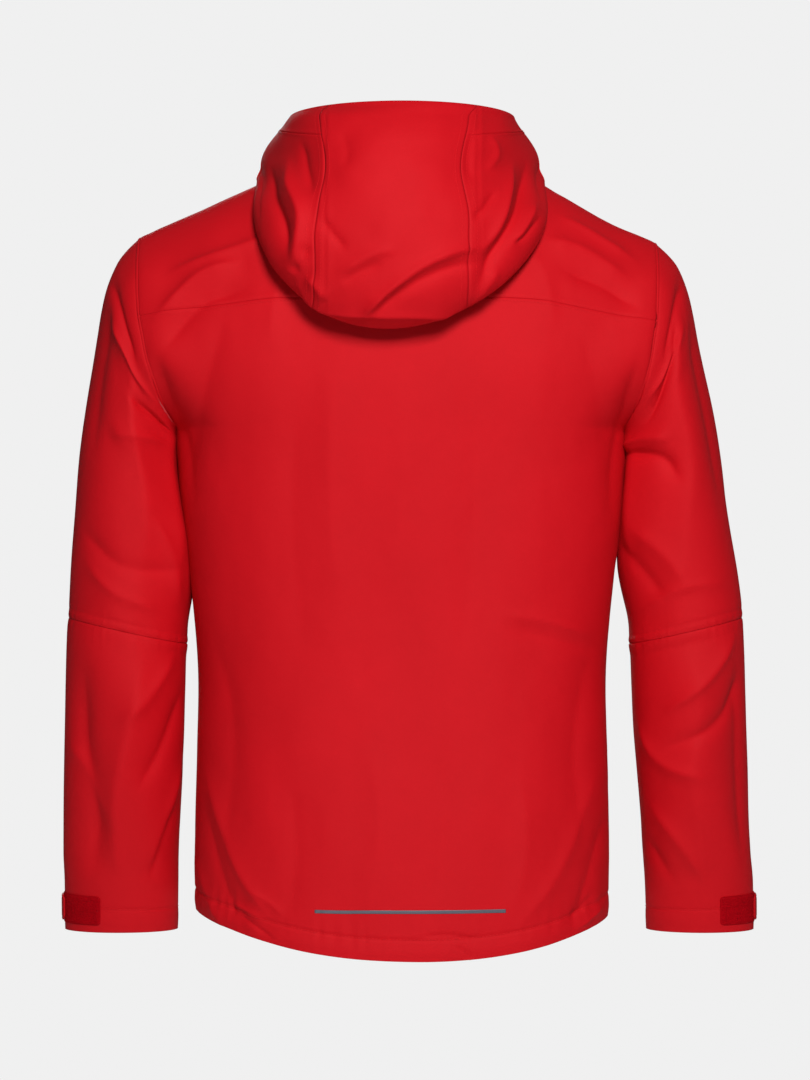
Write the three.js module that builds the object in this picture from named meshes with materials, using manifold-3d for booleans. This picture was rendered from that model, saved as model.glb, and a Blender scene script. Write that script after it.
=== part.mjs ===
// Hardshell jacket on the wearer's shoulders: front faces -Y, the wearer's left is +X, +Z is up.
// The origin is the centre of the base of the neck. All lengths are in millimetres.
import * as THREE from 'three';
import { mergeVertices } from 'three/addons/utils/BufferGeometryUtils.js';
import Module from 'manifold-3d';

const wasm = await Module();
wasm.setup();
const { Manifold, Mesh } = wasm;

// ---------------------------------------------------------------- driving dimensions
const FABRIC = 1.6; // thickness of a laminated shell panel with its seam tape
const SEAM_GAP = 0.4; // gap between two panels that are sewn together
const HALF_GAP = SEAM_GAP / 2;

// Torso
const SECTION_POWER = 2.4; // superellipse power of a level section of the torso
const ARMPIT_Z = -240;
const SHOULDER_TIP_X = 262;
const SHOULDER_TIP_Z = -48.5;
const SHOULDER_SLOPE = 0.44; // fall of the shoulder line for each millimetre outwards
const NECK_HALF_WIDTH = 82;
const SHOULDER_NECK_Z = 30.7;
const NAPE_RIDGE_Z = 124; // where the back would close over the neck if it had no opening
const CHEST_Z = -200; // above this height the torso closes towards the shoulder line
const CLOSURE_HEIGHT = 300; // length of the rounded part between chest and shoulder line
const ARMHOLE_FULLNESS = 0.6; // depth of the armhole edge as a part of the full torso depth
const ARMHOLE_ROUNDING = 63; // height over which the bottom of the armhole rounds off
const SIDE_WIDTHS = [[-760, 203], [-720, 205], [-650, 207], [-560, 205], [-480, 204], [-395, 211],
  [-320, 220], [ARMPIT_Z, 228]];
const ARMHOLE_WIDTHS = [[ARMPIT_Z, 228], [-177, 248], [-153, 253], [-124, 258],
  [SHOULDER_TIP_Z, SHOULDER_TIP_X]];
const BACK_DEPTHS = [[-760, 137], [-650, 134], [-480, 126], [-350, 129], [-200, 136], [40, 135]];
const ZIP_BOTTOM = { y: -150, z: -714 };
const ZIP_TOP = { y: -105, z: 48 };

// Edges and seams of the torso
const HEM_SIDE_Z = -717;
const DROP_TAIL = 38; // how far the back hem hangs below the side seams
const HEM_HALF_WIDTH = 203;
const YOKE_SEAM_Z = -113;
const YOKE_SEAM_DROP = 19; // how much lower the yoke seam ends at the armhole
const BACK_NECK_Z = 38;
const BACK_NECK_DROP = 7.3;
const FRONT_NECK_Z = -50;
const FRONT_EDGE_X = 9; // from the centre line to the edge of each front panel

// Sleeves: outer and inner edge of each section, seen from the front
const ARMHOLE_GAP = 2;
const UNDERARM_GAP = 1.6; // added at the armpit, where the sleeve folds back down
const SLEEVE_UPPER_OUTER = [[0, 262, -48.5], [0.046, 275, -61], [0.085, 284, -73], [0.151, 294, -97],
  [0.215, 300, -121], [0.276, 304, -145], [0.34, 308, -170], [0.47, 316, -220], [0.6, 322, -270],
  [0.73, 326, -320], [0.856, 330, -370], [1, 333, -427]];
const SLEEVE_UPPER_INNER = [[0, 228, -240], [0.151, 232.5, -247], [0.276, 235, -257],
  [0.34, 235, -265], [0.47, 232, -287], [0.6, 225.5, -320], [0.73, 219, -360], [0.856, 215.5, -405],
  [1, 215, -453]];
const SLEEVE_UPPER_DEPTHS = [[0, 78], [0.34, 73], [0.7, 67], [1, 62]];
const SLEEVE_LOWER_OUTER = [[0, 333, -427], [0.3, 337, -522], [0.7, 340, -648], [1, 341, -743]];
const SLEEVE_LOWER_INNER = [[0, 215, -453], [0.3, 218.5, -540], [0.7, 224.5, -656], [1, 227, -743]];
const SLEEVE_LOWER_DEPTHS = [[0, 62], [0.5, 55], [1, 45]];
const FOREARM_LEAN = 45; // how far forward the cuff hangs
const CUFF_HEM_START = 0.92;
const ELBOW_GAP = 0.001; // part of a sleeve's length left open at each side of the elbow seam
const CUFF_SEAM_GAP = 0.0007;

// Cuff adjuster, as angles around the cuff from its outer edge (the back is positive)
const TAB_SEWN_ANGLE = -54;
const TAB_FREE_ANGLE = 18;
const PATCH_START_ANGLE = -18;
const PATCH_END_ANGLE = 72;
const TAB_TOP = 0.88;
const TAB_BOTTOM = 0.975;
const TAB_MARGIN = 0.006; // how much shorter the tab is than its patch at each end
const ADJUSTER_GAP = 0.4; // between sleeve, patch and tab
const TAB_THICKNESS = 1.4;
const PATCH_THICKNESS = 0.9;

// Hood, hanging open behind the neck
const RIM_HALF_WIDTH = 113;
const RIM_SIDE_Y = 8;
const RIM_REACH = 132; // how far the rim stands behind its two side ends
const RIM_Z = 70;
const BAG_HALF_WIDTH = 148;
const BAG_DEPTH = 150;
const BAG_STANDOFF = 30; // how far the bottom of the bag stands off the back
const HOOD_REST_GAP = 4; // clearance between neck panel and yoke
const HOOD_SEAM_X = 73; // the two long seams of the centre panel
const HOOD_END_ANGLE = 88;
const NECK_PANEL_END_ANGLE = 86;
const BRIM_PART = 0.2; // part of the crown profile that the brim piece takes
const COLLAR_TOP_HALF_WIDTH = 100;
const COLLAR_SIDE_RISE = 12;
const COLLAR_END_ANGLE = 92;

// Main zip
const TAPE_WIDTH = 5.2;
const TAPE_THICKNESS = 0.8;
const CHAIN_WIDTH = 2;
const CHAIN_THICKNESS = 2;
const ZIP_LANE = 1.2; // from the centre line to each chain, so that the slider's post can pass
const CHAIN_DEPTH = 3.4; // from the outer face of the front to the middle of the chain
const SLIDER_LENGTH = 13;
const SLIDER_HALF_WIDTH = 5.5;
const PLATE = 1.4;
const RUNNING_GAP = 0.4;
const POST_HALF_WIDTH = 0.8;
const PULLER_LENGTH = 30;
const PULLER_WIDTH = 3.8;
const EYE_RADIUS = 1.7;
const EYE_HOLE_RADIUS = 0.95;
const LUG_INNER = 2.3;
const LUG_OUTER = 3.4;
const LUG_RISE = 3.2;
const PIN_RADIUS = 0.6;
const PIN_RISE = 1.9; // from the slider's plate to its pin
const BOX_LENGTH = 16;
const FLAP_HALF_WIDTH = 26;
const FLAP_SETBACK = 7.2; // from the chain to the flap behind it
const FLAP_THICKNESS = 1.2;

// Hand pockets
const POCKET_X = 125;
const POCKET_TOP_Z = -430;
const POCKET_BOTTOM_Z = -590;
const POCKET_SLOT_WIDTH = 13;
const POCKET_TAPE_WIDTH = 26;
const POCKET_TAPE_SETBACK = 1.6; // behind the front panel
const POCKET_PULLER_LENGTH = 24;
const POCKET_BAG_DROP = 60; // how far the bag hangs below the pocket's mouth
const POCKET_BAG_RISE = 25;
const POCKET_BAG_SETBACK = 8.4;
const POCKET_BAG_X = [45, 150];

// Hem tunnel, drawcord and cord locks
const TUNNEL_HEIGHT = 21;
const TUNNEL_DEPTH = 8;
const FACING = 1.2;
const CORD_RADIUS = 1.3;
const CORD_DEPTH = 5.2;
const LOCK = { width: 9, length: 10, height: 16 };
const LOCK_Z = -703;
const LOCK_Y = -16;
const PLUNGER_RADIUS = 2.5;
const PLUNGER_GAP = 0.35;

// Small trim
const STRIPE_WIDTH = 184;
const STRIPE_HEIGHT = 4;
const STRIPE_Z = -708;
const STRIPE_CENTRE_X = -8;
const STRIPE_STANDOFF = 0.9; // from the back panel to the outer face of the stripe
const STRIPE_THICKNESS = 0.5;
const LOOP = { span: 64, bar: 40, width: 7, thickness: 1.6, rise: 14 };

// ---------------------------------------------------------------- materials
function fabric(colour, roughness = 0.62) {
  return new THREE.MeshStandardMaterial({ color: colour, roughness, metalness: 0 });
}

const SHELL_RED = fabric(0xb5101c);
const SHELL_RED_DARK = fabric(0x8e0b16);
const LOOP_FABRIC = fabric(0x7c0a14, 0.95);
const BACKER = fabric(0x3a3d44, 0.85);
const TAPE = fabric(0x8e0b16, 0.7);
const REFLECTIVE = fabric(0x63636e, 0.35);
const CORD = fabric(0x1d1d20, 0.8);
const PLASTIC = fabric(0x202024, 0.45);
const COIL = fabric(0x7a0a13, 0.5);
const METAL = new THREE.MeshStandardMaterial({ color: 0x55565c, roughness: 0.35, metalness: 0.9 });

// ---------------------------------------------------------------- small helpers
const DEGREE = Math.PI / 180;
const group = new THREE.Group();

function mix(a, b, t) {
  return a + (b - a) * t;
}

function clamp(value, low, high) {
  return Math.min(Math.max(value, low), high);
}

function smooth(t) {
  const c = clamp(t, 0, 1);
  return c * c * (3 - 2 * c);
}

// Smooth curve through rows of [key, value, ...]; column picks the value.
function curve(rows, key, column = 1) {
  const last = rows.length - 1;
  if (key <= rows[0][0]) {
    return rows[0][column];
  }
  if (key >= rows[last][0]) {
    return rows[last][column];
  }
  let i = 0;
  while (key > rows[i + 1][0]) {
    i += 1;
  }
  const slope = (j) => {
    const a = rows[Math.max(j - 1, 0)];
    const b = rows[Math.min(j + 1, last)];
    return (b[column] - a[column]) / (b[0] - a[0]);
  };
  const width = rows[i + 1][0] - rows[i][0];
  const t = (key - rows[i][0]) / width;
  const t2 = t * t;
  const t3 = t2 * t;
  return rows[i][column] * (2 * t3 - 3 * t2 + 1) + slope(i) * width * (t3 - 2 * t2 + t)
    + rows[i + 1][column] * (3 * t2 - 2 * t3) + slope(i + 1) * width * (t3 - t2);
}

function spread(from, to, parts) {
  return Array.from({ length: parts + 1 }, (unused, i) => mix(from, to, i / parts));
}

function add(name, geometry, material) {
  geometry.computeVertexNormals();
  const mesh = new THREE.Mesh(geometry, material);
  mesh.name = name;
  group.add(mesh);
}

// Unit normal of point(u, v), on the side given by sign.
function surfaceNormal(point, u, v, box, sign) {
  const du = (box.u1 - box.u0) * 1e-3;
  const dv = (box.v1 - box.v0) * 1e-3;
  const alongU = point(Math.min(u + du, box.u1), v).sub(point(Math.max(u - du, box.u0), v));
  const alongV = point(u, Math.min(v + dv, box.v1)).sub(point(u, Math.max(v - dv, box.v0)));
  return alongU.cross(alongV).normalize().multiplyScalar(sign);
}

// A closed sheet under the outer face point(u, v). A ring joins its last column to its first.
function sheet(point, uStops, vStops, thickness, sign, ring = false) {
  const box = { u0: uStops[0], u1: uStops[uStops.length - 1], v0: vStops[0], v1: vStops[vStops.length - 1] };
  if (ring) {
    box.u0 = -Infinity;
    box.u1 = Infinity;
  }
  const normalBox = ring ? { ...box, u0: uStops[0] - 10, u1: uStops[uStops.length - 1] + 10 } : box;
  const outer = [];
  const inner = [];
  for (const v of vStops) {
    for (const u of uStops) {
      const here = point(u, v);
      const normal = surfaceNormal(point, u, v, normalBox, sign);
      outer.push(here);
      inner.push(here.clone().addScaledVector(normal, -thickness));
    }
  }
  const columns = uStops.length;
  const rows = vStops.length;
  const count = columns * rows;
  const index = [];
  const quad = (a, b, c, d) => {
    if (sign > 0) {
      index.push(a, b, c, a, c, d);
    } else {
      index.push(a, c, b, a, d, c);
    }
  };
  const at = (i, j) => (i % columns) + j * columns;
  const lastColumn = ring ? columns : columns - 1;
  for (let j = 0; j < rows - 1; j += 1) {
    for (let i = 0; i < lastColumn; i += 1) {
      quad(at(i, j), at(i + 1, j), at(i + 1, j + 1), at(i, j + 1));
      quad(count + at(i, j), count + at(i, j + 1), count + at(i + 1, j + 1), count + at(i + 1, j));
    }
  }
  for (let i = 0; i < lastColumn; i += 1) {
    quad(at(i, 0), count + at(i, 0), count + at(i + 1, 0), at(i + 1, 0));
    quad(at(i, rows - 1), at(i + 1, rows - 1), count + at(i + 1, rows - 1), count + at(i, rows - 1));
  }
  if (!ring) {
    for (let j = 0; j < rows - 1; j += 1) {
      quad(at(0, j), at(0, j + 1), count + at(0, j + 1), count + at(0, j));
      const e = columns - 1;
      quad(at(e, j), count + at(e, j), count + at(e, j + 1), at(e, j + 1));
    }
  }
  const geometry = new THREE.BufferGeometry();
  const positions = [...outer, ...inner].flatMap((p) => [p.x, p.y, p.z]);
  geometry.setAttribute('position', new THREE.Float32BufferAttribute(positions, 3));
  geometry.setIndex(index);
  return geometry;
}

function toManifold(geometry) {
  const plain = new THREE.BufferGeometry();
  plain.setAttribute('position', geometry.getAttribute('position').clone());
  if (geometry.index) {
    plain.setIndex(geometry.index.clone());
  }
  const merged = mergeVertices(plain, 1e-4);
  return new Manifold(new Mesh({
    numProp: 3,
    vertProperties: new Float32Array(merged.getAttribute('position').array),
    triVerts: new Uint32Array(merged.index.array),
  }));
}

function fromManifold(solid) {
  const mesh = solid.getMesh();
  const geometry = new THREE.BufferGeometry();
  geometry.setAttribute('position', new THREE.Float32BufferAttribute(Array.from(mesh.vertProperties), 3));
  geometry.setIndex(Array.from(mesh.triVerts));
  return geometry;
}

function join(...geometries) {
  return fromManifold(Manifold.union(geometries.map(toManifold)));
}

function cut(geometry, ...tools) {
  return fromManifold(Manifold.difference(toManifold(geometry), Manifold.union(tools.map(toManifold))));
}

function block(x0, x1, y0, y1, z0, z1) {
  const geometry = new THREE.BoxGeometry(x1 - x0, y1 - y0, z1 - z0);
  return geometry.translate((x0 + x1) / 2, (y0 + y1) / 2, (z0 + z1) / 2);
}

function rod(radius, length, axis, sides = 16) {
  const geometry = new THREE.CylinderGeometry(radius, radius, length, sides);
  if (axis === 'x') {
    geometry.rotateZ(Math.PI / 2);
  }
  if (axis === 'z') {
    geometry.rotateX(Math.PI / 2);
  }
  return geometry;
}

// ---------------------------------------------------------------- torso surface
function shoulderZ(x) {
  const out = Math.abs(x);
  if (out >= NECK_HALF_WIDTH) {
    return SHOULDER_NECK_Z - SHOULDER_SLOPE * (out - NECK_HALF_WIDTH);
  }
  const inside = 1 - (out / NECK_HALF_WIDTH) ** 2;
  const shoulderRise = SHOULDER_SLOPE * NECK_HALF_WIDTH / 2;
  const napeRise = NAPE_RIDGE_Z - SHOULDER_NECK_Z - shoulderRise;
  return SHOULDER_NECK_Z + shoulderRise * inside + napeRise * inside * inside;
}

function edgeX(z) {
  return z < ARMPIT_Z ? curve(SIDE_WIDTHS, z) : curve(ARMHOLE_WIDTHS, z);
}

function edgeFullness(z) {
  const t = clamp((z - ARMPIT_Z) / ARMHOLE_ROUNDING, 0, 1);
  return ARMHOLE_FULLNESS * Math.sqrt(1 - (1 - t) ** 2);
}

function sectionWidth(z) {
  return edgeX(z) / (1 - edgeFullness(z) ** SECTION_POWER) ** (1 / SECTION_POWER);
}

function closure(x, z) {
  if (z <= CHEST_Z) {
    return 1;
  }
  const part = clamp((z - CHEST_Z) / (shoulderZ(x) - CHEST_Z), 0, 1);
  return Math.sqrt(1 - part * part);
}

function fullness(x, z) {
  const across = clamp(Math.abs(x) / sectionWidth(z), 0, 1);
  return (1 - across ** SECTION_POWER) ** (1 / SECTION_POWER) * closure(x, z);
}

function zipY(z) {
  return mix(ZIP_BOTTOM.y, ZIP_TOP.y, (z - ZIP_BOTTOM.z) / (ZIP_TOP.z - ZIP_BOTTOM.z));
}

// side +1 is the back, -1 the front
function torsoY(side, x, z) {
  if (side > 0) {
    return curve(BACK_DEPTHS, z) * fullness(x, z) + HALF_GAP;
  }
  return zipY(z) * fullness(x, z) / fullness(0, z) - HALF_GAP;
}

// u runs from 0 at the centre line to +1 or -1 at the side seam and the armhole.
function columnX(u, z) {
  const edge = Math.asin((edgeX(z) / sectionWidth(z)) ** (SECTION_POWER / 2));
  return Math.sign(u) * sectionWidth(z) * Math.sin(Math.abs(u) * edge) ** (2 / SECTION_POWER);
}

function columnFor(x, z) {
  const edge = Math.asin((edgeX(z) / sectionWidth(z)) ** (SECTION_POWER / 2));
  return Math.sign(x) * Math.asin((Math.abs(x) / sectionWidth(z)) ** (SECTION_POWER / 2)) / edge;
}

// h is a height measured along the cloth: 0 at the chest, CLOSURE_HEIGHT on the shoulder line.
function heightToZ(x, h) {
  if (h <= 0) {
    return CHEST_Z + h;
  }
  return CHEST_Z + (shoulderZ(x) - CHEST_Z) * Math.sin(Math.min(h / CLOSURE_HEIGHT, 1) * Math.PI / 2);
}

function zToHeight(x, z) {
  if (z <= CHEST_Z) {
    return z - CHEST_Z;
  }
  const part = clamp((z - CHEST_Z) / (shoulderZ(x) - CHEST_Z), 0, 1);
  return CLOSURE_HEIGHT * Math.asin(part) / (Math.PI / 2);
}

function torsoPoint(side, u, h) {
  let z = heightToZ(150, h);
  let x = 0;
  for (let i = 0; i < 6; i += 1) {
    x = columnX(u, z);
    z = heightToZ(x, h);
  }
  return new THREE.Vector3(x, torsoY(side, x, z), z);
}

function heightOfLine(u, line) {
  let z = line(150);
  for (let i = 0; i < 6; i += 1) {
    z = line(Math.abs(columnX(u, z)));
  }
  return zToHeight(columnX(u, z), z);
}

function torsoNormal(side, u, h) {
  const box = { u0: -1, u1: 1, v0: -600, v1: CLOSURE_HEIGHT };
  return surfaceNormal((a, b) => torsoPoint(side, a, b), u, h, box, -side);
}

function offsetTorso(side, u, h, distance) {
  return torsoPoint(side, u, h).addScaledVector(torsoNormal(side, u, h), distance);
}

// Outer face of a torso piece between two lines z(|x|), at a distance from the torso surface.
function torsoFace(side, low, high, distance = 0) {
  return (u, v) => {
    const h = mix(heightOfLine(u, low), heightOfLine(u, high), v);
    return distance === 0 ? torsoPoint(side, u, h) : offsetTorso(side, u, h, distance);
  };
}

const backHem = (x) => HEM_SIDE_Z - DROP_TAIL * (1 - clamp(x / HEM_HALF_WIDTH, 0, 1) ** 2);
const frontHem = () => HEM_SIDE_Z;
const yokeSeam = (x) => YOKE_SEAM_Z - YOKE_SEAM_DROP * (x / SHOULDER_TIP_X) ** 2;

function backTop(x) {
  if (x >= NECK_HALF_WIDTH) {
    return shoulderZ(x);
  }
  return Math.min(BACK_NECK_Z - BACK_NECK_DROP * (x / NECK_HALF_WIDTH) ** 2, shoulderZ(x));
}

function frontTop(x) {
  if (x >= NECK_HALF_WIDTH) {
    return shoulderZ(x);
  }
  const rise = SHOULDER_NECK_Z - FRONT_NECK_Z;
  return SHOULDER_NECK_Z - rise * (1 - (x / NECK_HALF_WIDTH) ** 2) ** 0.6;
}

function columnsFor(xList) {
  return xList.map((x) => columnFor(x, 0));
}

const HALF_COLUMNS = [30, 54, 70, 79, NECK_HALF_WIDTH, 110, 145, 182, 218, 244, SHOULDER_TIP_X];
const BACK_COLUMNS = columnsFor([...HALF_COLUMNS.map((x) => -x).reverse(), 0, ...HALF_COLUMNS]);
const COARSE_HALF = [40, 82, 125, 165, 205, 240, SHOULDER_TIP_X];
const COARSE_COLUMNS = columnsFor([...COARSE_HALF.map((x) => -x).reverse(), 0, ...COARSE_HALF]);
const NECK_STOPS = [FRONT_EDGE_X, 30, 54, 70, 79, NECK_HALF_WIDTH];
const FRONT_COLUMNS = columnsFor([...NECK_STOPS, 105, 125, 145, 182, 218, 244, SHOULDER_TIP_X]);

function mirrored(columns) {
  return columns.map((u) => -u).reverse();
}

function backPieces() {
  const yoke = torsoFace(1, (x) => yokeSeam(x) + HALF_GAP, backTop);
  add('back_yoke', sheet(yoke, BACK_COLUMNS, spread(0, 1, 5), FABRIC, -1), SHELL_RED);
  const panel = torsoFace(1, backHem, (x) => yokeSeam(x) - HALF_GAP);
  add('back_panel', sheet(panel, COARSE_COLUMNS, spread(0, 1, 14), FABRIC, -1), SHELL_RED);
  const half = STRIPE_WIDTH / 2;
  const stripeBottom = STRIPE_Z - STRIPE_HEIGHT / 2;
  const stripeTop = STRIPE_Z + STRIPE_HEIGHT / 2;
  const stripe = torsoFace(1, () => stripeBottom, () => stripeTop, STRIPE_STANDOFF);
  const ends = [STRIPE_CENTRE_X - half, STRIPE_CENTRE_X + half].map((x) => columnFor(x, STRIPE_Z));
  const stripeColumns = spread(ends[0], ends[1], 12);
  add('reflective_stripe', sheet(stripe, stripeColumns, [0, 1], STRIPE_THICKNESS, -1), REFLECTIVE);
}

// ---------------------------------------------------------------- hand pockets
// Frame of a straight part: X across, Y along, Z outwards.
function straightFrame(bottom, top, outward) {
  const along = top.clone().sub(bottom).normalize();
  const across = along.clone().cross(outward).normalize();
  const out = across.clone().cross(along).normalize();
  return new THREE.Matrix4().makeBasis(across, along, out).setPosition(bottom);
}

function pocketFrame(sign) {
  const surface = (z) => new THREE.Vector3(sign * POCKET_X, torsoY(-1, POCKET_X, z), z);
  const middleZ = (POCKET_TOP_Z + POCKET_BOTTOM_Z) / 2;
  const outward = torsoNormal(-1, columnFor(sign * POCKET_X, middleZ), middleZ - CHEST_Z);
  return straightFrame(surface(POCKET_BOTTOM_Z), surface(POCKET_TOP_Z), outward);
}

function slottedTape(width, length, slotWidth, slotStart, slotEnd, thickness) {
  const plate = block(-width / 2, width / 2, 0, length, -thickness, 0);
  const slot = block(-slotWidth / 2, slotWidth / 2, slotStart, slotEnd, -thickness - 1, 1);
  return cut(plate, slot);
}

function sliderBody(length, halfWidth, gap) {
  const top = block(-halfWidth, halfWidth, 0, length, gap, gap + PLATE);
  const bottom = block(-halfWidth, halfWidth, 0, length, -gap - PLATE, -gap);
  const post = block(-POST_HALF_WIDTH, POST_HALF_WIDTH, length * 0.3, length * 0.7, -gap - 0.5, gap + 0.5);
  const lugs = [-1, 1].map((side) => {
    const inner = side * LUG_INNER;
    const outer = side * LUG_OUTER;
    return block(Math.min(inner, outer), Math.max(inner, outer), length * 0.35, length * 0.65,
      gap + PLATE - 0.4, gap + PLATE + LUG_RISE);
  });
  const pin = rod(PIN_RADIUS, 6, 'x').translate(0, length / 2, gap + PLATE + PIN_RISE);
  return join(top, bottom, post, pin, ...lugs);
}

// The pull is a flat bar with an eye around the pin of the slider.
function pullerBody(length, pinY, pinZ) {
  const profile = new THREE.Shape();
  profile.absarc(0, 0, EYE_RADIUS, 0, Math.PI, false);
  profile.lineTo(-EYE_RADIUS, -length * 0.4);
  profile.lineTo(-1.25, -length);
  profile.lineTo(0.35, -length);
  profile.lineTo(EYE_RADIUS, -length * 0.15);
  const eye = new THREE.Path();
  eye.absarc(0, 0, EYE_HOLE_RADIUS, 0, Math.PI * 2, true);
  profile.holes.push(eye);
  const options = { depth: PULLER_WIDTH, bevelEnabled: false, curveSegments: 8 };
  const bar = new THREE.ExtrudeGeometry(profile, options);
  bar.translate(0, 0, -PULLER_WIDTH / 2);
  const turn = new THREE.Matrix4().makeBasis(
    new THREE.Vector3(0, 0, -1), new THREE.Vector3(0, 1, 0), new THREE.Vector3(1, 0, 0));
  return bar.applyMatrix4(turn).translate(0, pinY, pinZ);
}

function pocketPieces(side, sign) {
  const frame = pocketFrame(sign);
  const length = POCKET_TOP_Z - POCKET_BOTTOM_Z;
  const depth = -(FABRIC + POCKET_TAPE_SETBACK);
  const tape = slottedTape(POCKET_TAPE_WIDTH, length + 24, 2 * ZIP_LANE, 8, length + 16, 2);
  tape.translate(0, -12, depth);
  add(`pocket_zip_${side}`, tape.applyMatrix4(frame), TAPE);
  const middle = depth - 1;
  const gap = 1 + RUNNING_GAP;
  const start = length - SLIDER_LENGTH;
  const slider = sliderBody(SLIDER_LENGTH, 5, gap).translate(0, start, middle);
  add(`pocket_slider_${side}`, slider.applyMatrix4(frame), METAL);
  const pinY = start + SLIDER_LENGTH / 2;
  const puller = pullerBody(POCKET_PULLER_LENGTH, pinY, middle + gap + PLATE + PIN_RISE);
  add(`pocket_puller_${side}`, puller.applyMatrix4(frame), PLASTIC);
  const bagBottom = POCKET_BOTTOM_Z - POCKET_BAG_DROP;
  const bag = torsoFace(-1, () => bagBottom, () => POCKET_TOP_Z + POCKET_BAG_RISE, -POCKET_BAG_SETBACK);
  const bagEnds = POCKET_BAG_X.map((x) => columnFor(x, (POCKET_TOP_Z + POCKET_BOTTOM_Z) / 2));
  const bagColumns = spread(bagEnds[0], bagEnds[1], 5);
  const columns = sign > 0 ? bagColumns : mirrored(bagColumns);
  add(`pocket_bag_${side}`, sheet(bag, columns, spread(0, 1, 5), FACING, 1), BACKER);
}

function frontPieces(side, sign) {
  const panel = torsoFace(-1, frontHem, frontTop);
  const columns = sign > 0 ? FRONT_COLUMNS : mirrored(FRONT_COLUMNS);
  const whole = sheet(panel, columns, spread(0, 1, 16), FABRIC, 1);
  const half = POCKET_SLOT_WIDTH / 2;
  const length = POCKET_TOP_Z - POCKET_BOTTOM_Z;
  const slot = block(-half, half, -4, length + 4, -12, 12).applyMatrix4(pocketFrame(sign));
  add(`front_panel_${side}`, cut(whole, slot), SHELL_RED);
}

// ---------------------------------------------------------------- main zip
const ZIP_FOOT = new THREE.Vector3(0, ZIP_BOTTOM.y, ZIP_BOTTOM.z);
const ZIP_HEAD = new THREE.Vector3(0, ZIP_TOP.y, ZIP_TOP.z);
const ZIP_LENGTH = ZIP_FOOT.distanceTo(ZIP_HEAD);
const ZIP_FRAME = straightFrame(ZIP_FOOT, ZIP_HEAD, new THREE.Vector3(0, -1, 0));

function zipPieces() {
  for (const [side, sign] of [['left', 1], ['right', -1]]) {
    const near = sign * (ZIP_LANE + CHAIN_WIDTH + 0.3);
    const far = sign * (ZIP_LANE + CHAIN_WIDTH + 0.3 + TAPE_WIDTH);
    const tape = block(Math.min(near, far), Math.max(near, far), 0, ZIP_LENGTH,
      -CHAIN_DEPTH - TAPE_THICKNESS / 2, -CHAIN_DEPTH + TAPE_THICKNESS / 2);
    add(`zip_tape_${side}`, tape.applyMatrix4(ZIP_FRAME), TAPE);
    const inner = sign * ZIP_LANE;
    const outer = sign * (ZIP_LANE + CHAIN_WIDTH);
    const chain = block(Math.min(inner, outer), Math.max(inner, outer), BOX_LENGTH + 1, ZIP_LENGTH,
      -CHAIN_DEPTH - CHAIN_THICKNESS / 2, -CHAIN_DEPTH + CHAIN_THICKNESS / 2);
    add(`zip_chain_${side}`, chain.applyMatrix4(ZIP_FRAME), COIL);
  }
  const box = block(-3, 3, 0, BOX_LENGTH, -CHAIN_DEPTH - 2, -CHAIN_DEPTH + 2);
  add('zip_box', box.applyMatrix4(ZIP_FRAME), PLASTIC);
  const start = ZIP_LENGTH - SLIDER_LENGTH - 1;
  const gap = CHAIN_THICKNESS / 2 + RUNNING_GAP;
  const slider = sliderBody(SLIDER_LENGTH, SLIDER_HALF_WIDTH, gap).translate(0, start, -CHAIN_DEPTH);
  add('main_slider', slider.applyMatrix4(ZIP_FRAME), METAL);
  const pinZ = -CHAIN_DEPTH + gap + PLATE + PIN_RISE;
  add('main_puller', pullerBody(PULLER_LENGTH, start + SLIDER_LENGTH / 2, pinZ).applyMatrix4(ZIP_FRAME),
    PLASTIC);
  const flapFace = -CHAIN_DEPTH - FLAP_SETBACK;
  const flapBack = flapFace - FLAP_THICKNESS;
  const flap = block(-FLAP_HALF_WIDTH, FLAP_HALF_WIDTH, 4, ZIP_LENGTH - 2, flapBack, flapFace);
  add('storm_flap', flap.applyMatrix4(ZIP_FRAME), SHELL_RED_DARK);
}

// ---------------------------------------------------------------- sleeves
function armholePoint(angle) {
  const middle = (SHOULDER_TIP_Z + ARMPIT_Z) / 2;
  const z = middle + (SHOULDER_TIP_Z - ARMPIT_Z) / 2 * Math.cos(angle);
  const x = edgeX(z);
  const depth = Math.sin(angle) >= 0 ? torsoY(1, x, z) - HALF_GAP : torsoY(-1, x, z) + HALF_GAP;
  return new THREE.Vector3(x, depth, z);
}

function sleeveRing(outer, inner, depth, lean, t, angle) {
  const ox = curve(outer, t, 1);
  const oz = curve(outer, t, 2);
  const ix = curve(inner, t, 1);
  const iz = curve(inner, t, 2);
  const c = Math.cos(angle);
  return new THREE.Vector3((ox + ix) / 2 + (ox - ix) / 2 * c, -lean + depth * Math.sin(angle),
    (oz + iz) / 2 + (oz - iz) / 2 * c);
}

const ARMHOLE_BLEND = 0.3; // part of the upper sleeve that takes the shape of the armhole

function upperSleevePoint(angle, t) {
  const depth = curve(SLEEVE_UPPER_DEPTHS, t);
  const ring = sleeveRing(SLEEVE_UPPER_OUTER, SLEEVE_UPPER_INNER, depth, 0, t, angle);
  const edge = armholePoint(angle);
  const own = smooth(t / ARMHOLE_BLEND);
  ring.y = mix(edge.y, ring.y, own);
  const start = sleeveRing(SLEEVE_UPPER_OUTER, SLEEVE_UPPER_INNER, depth, 0, 0, angle);
  const gap = ARMHOLE_GAP + UNDERARM_GAP * (1 - Math.cos(angle)) / 2;
  ring.x += (edge.x - start.x) * (1 - own) + gap * (1 - smooth(t / 0.2));
  return ring;
}

function lowerSleevePoint(angle, t) {
  const depth = curve(SLEEVE_LOWER_DEPTHS, t);
  const lean = FOREARM_LEAN * t * t * (1.6 - 0.6 * t);
  return sleeveRing(SLEEVE_LOWER_OUTER, SLEEVE_LOWER_INNER, depth, lean, t, angle);
}

function mirrorPoint(point, sign) {
  point.x *= sign;
  return point;
}

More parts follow.
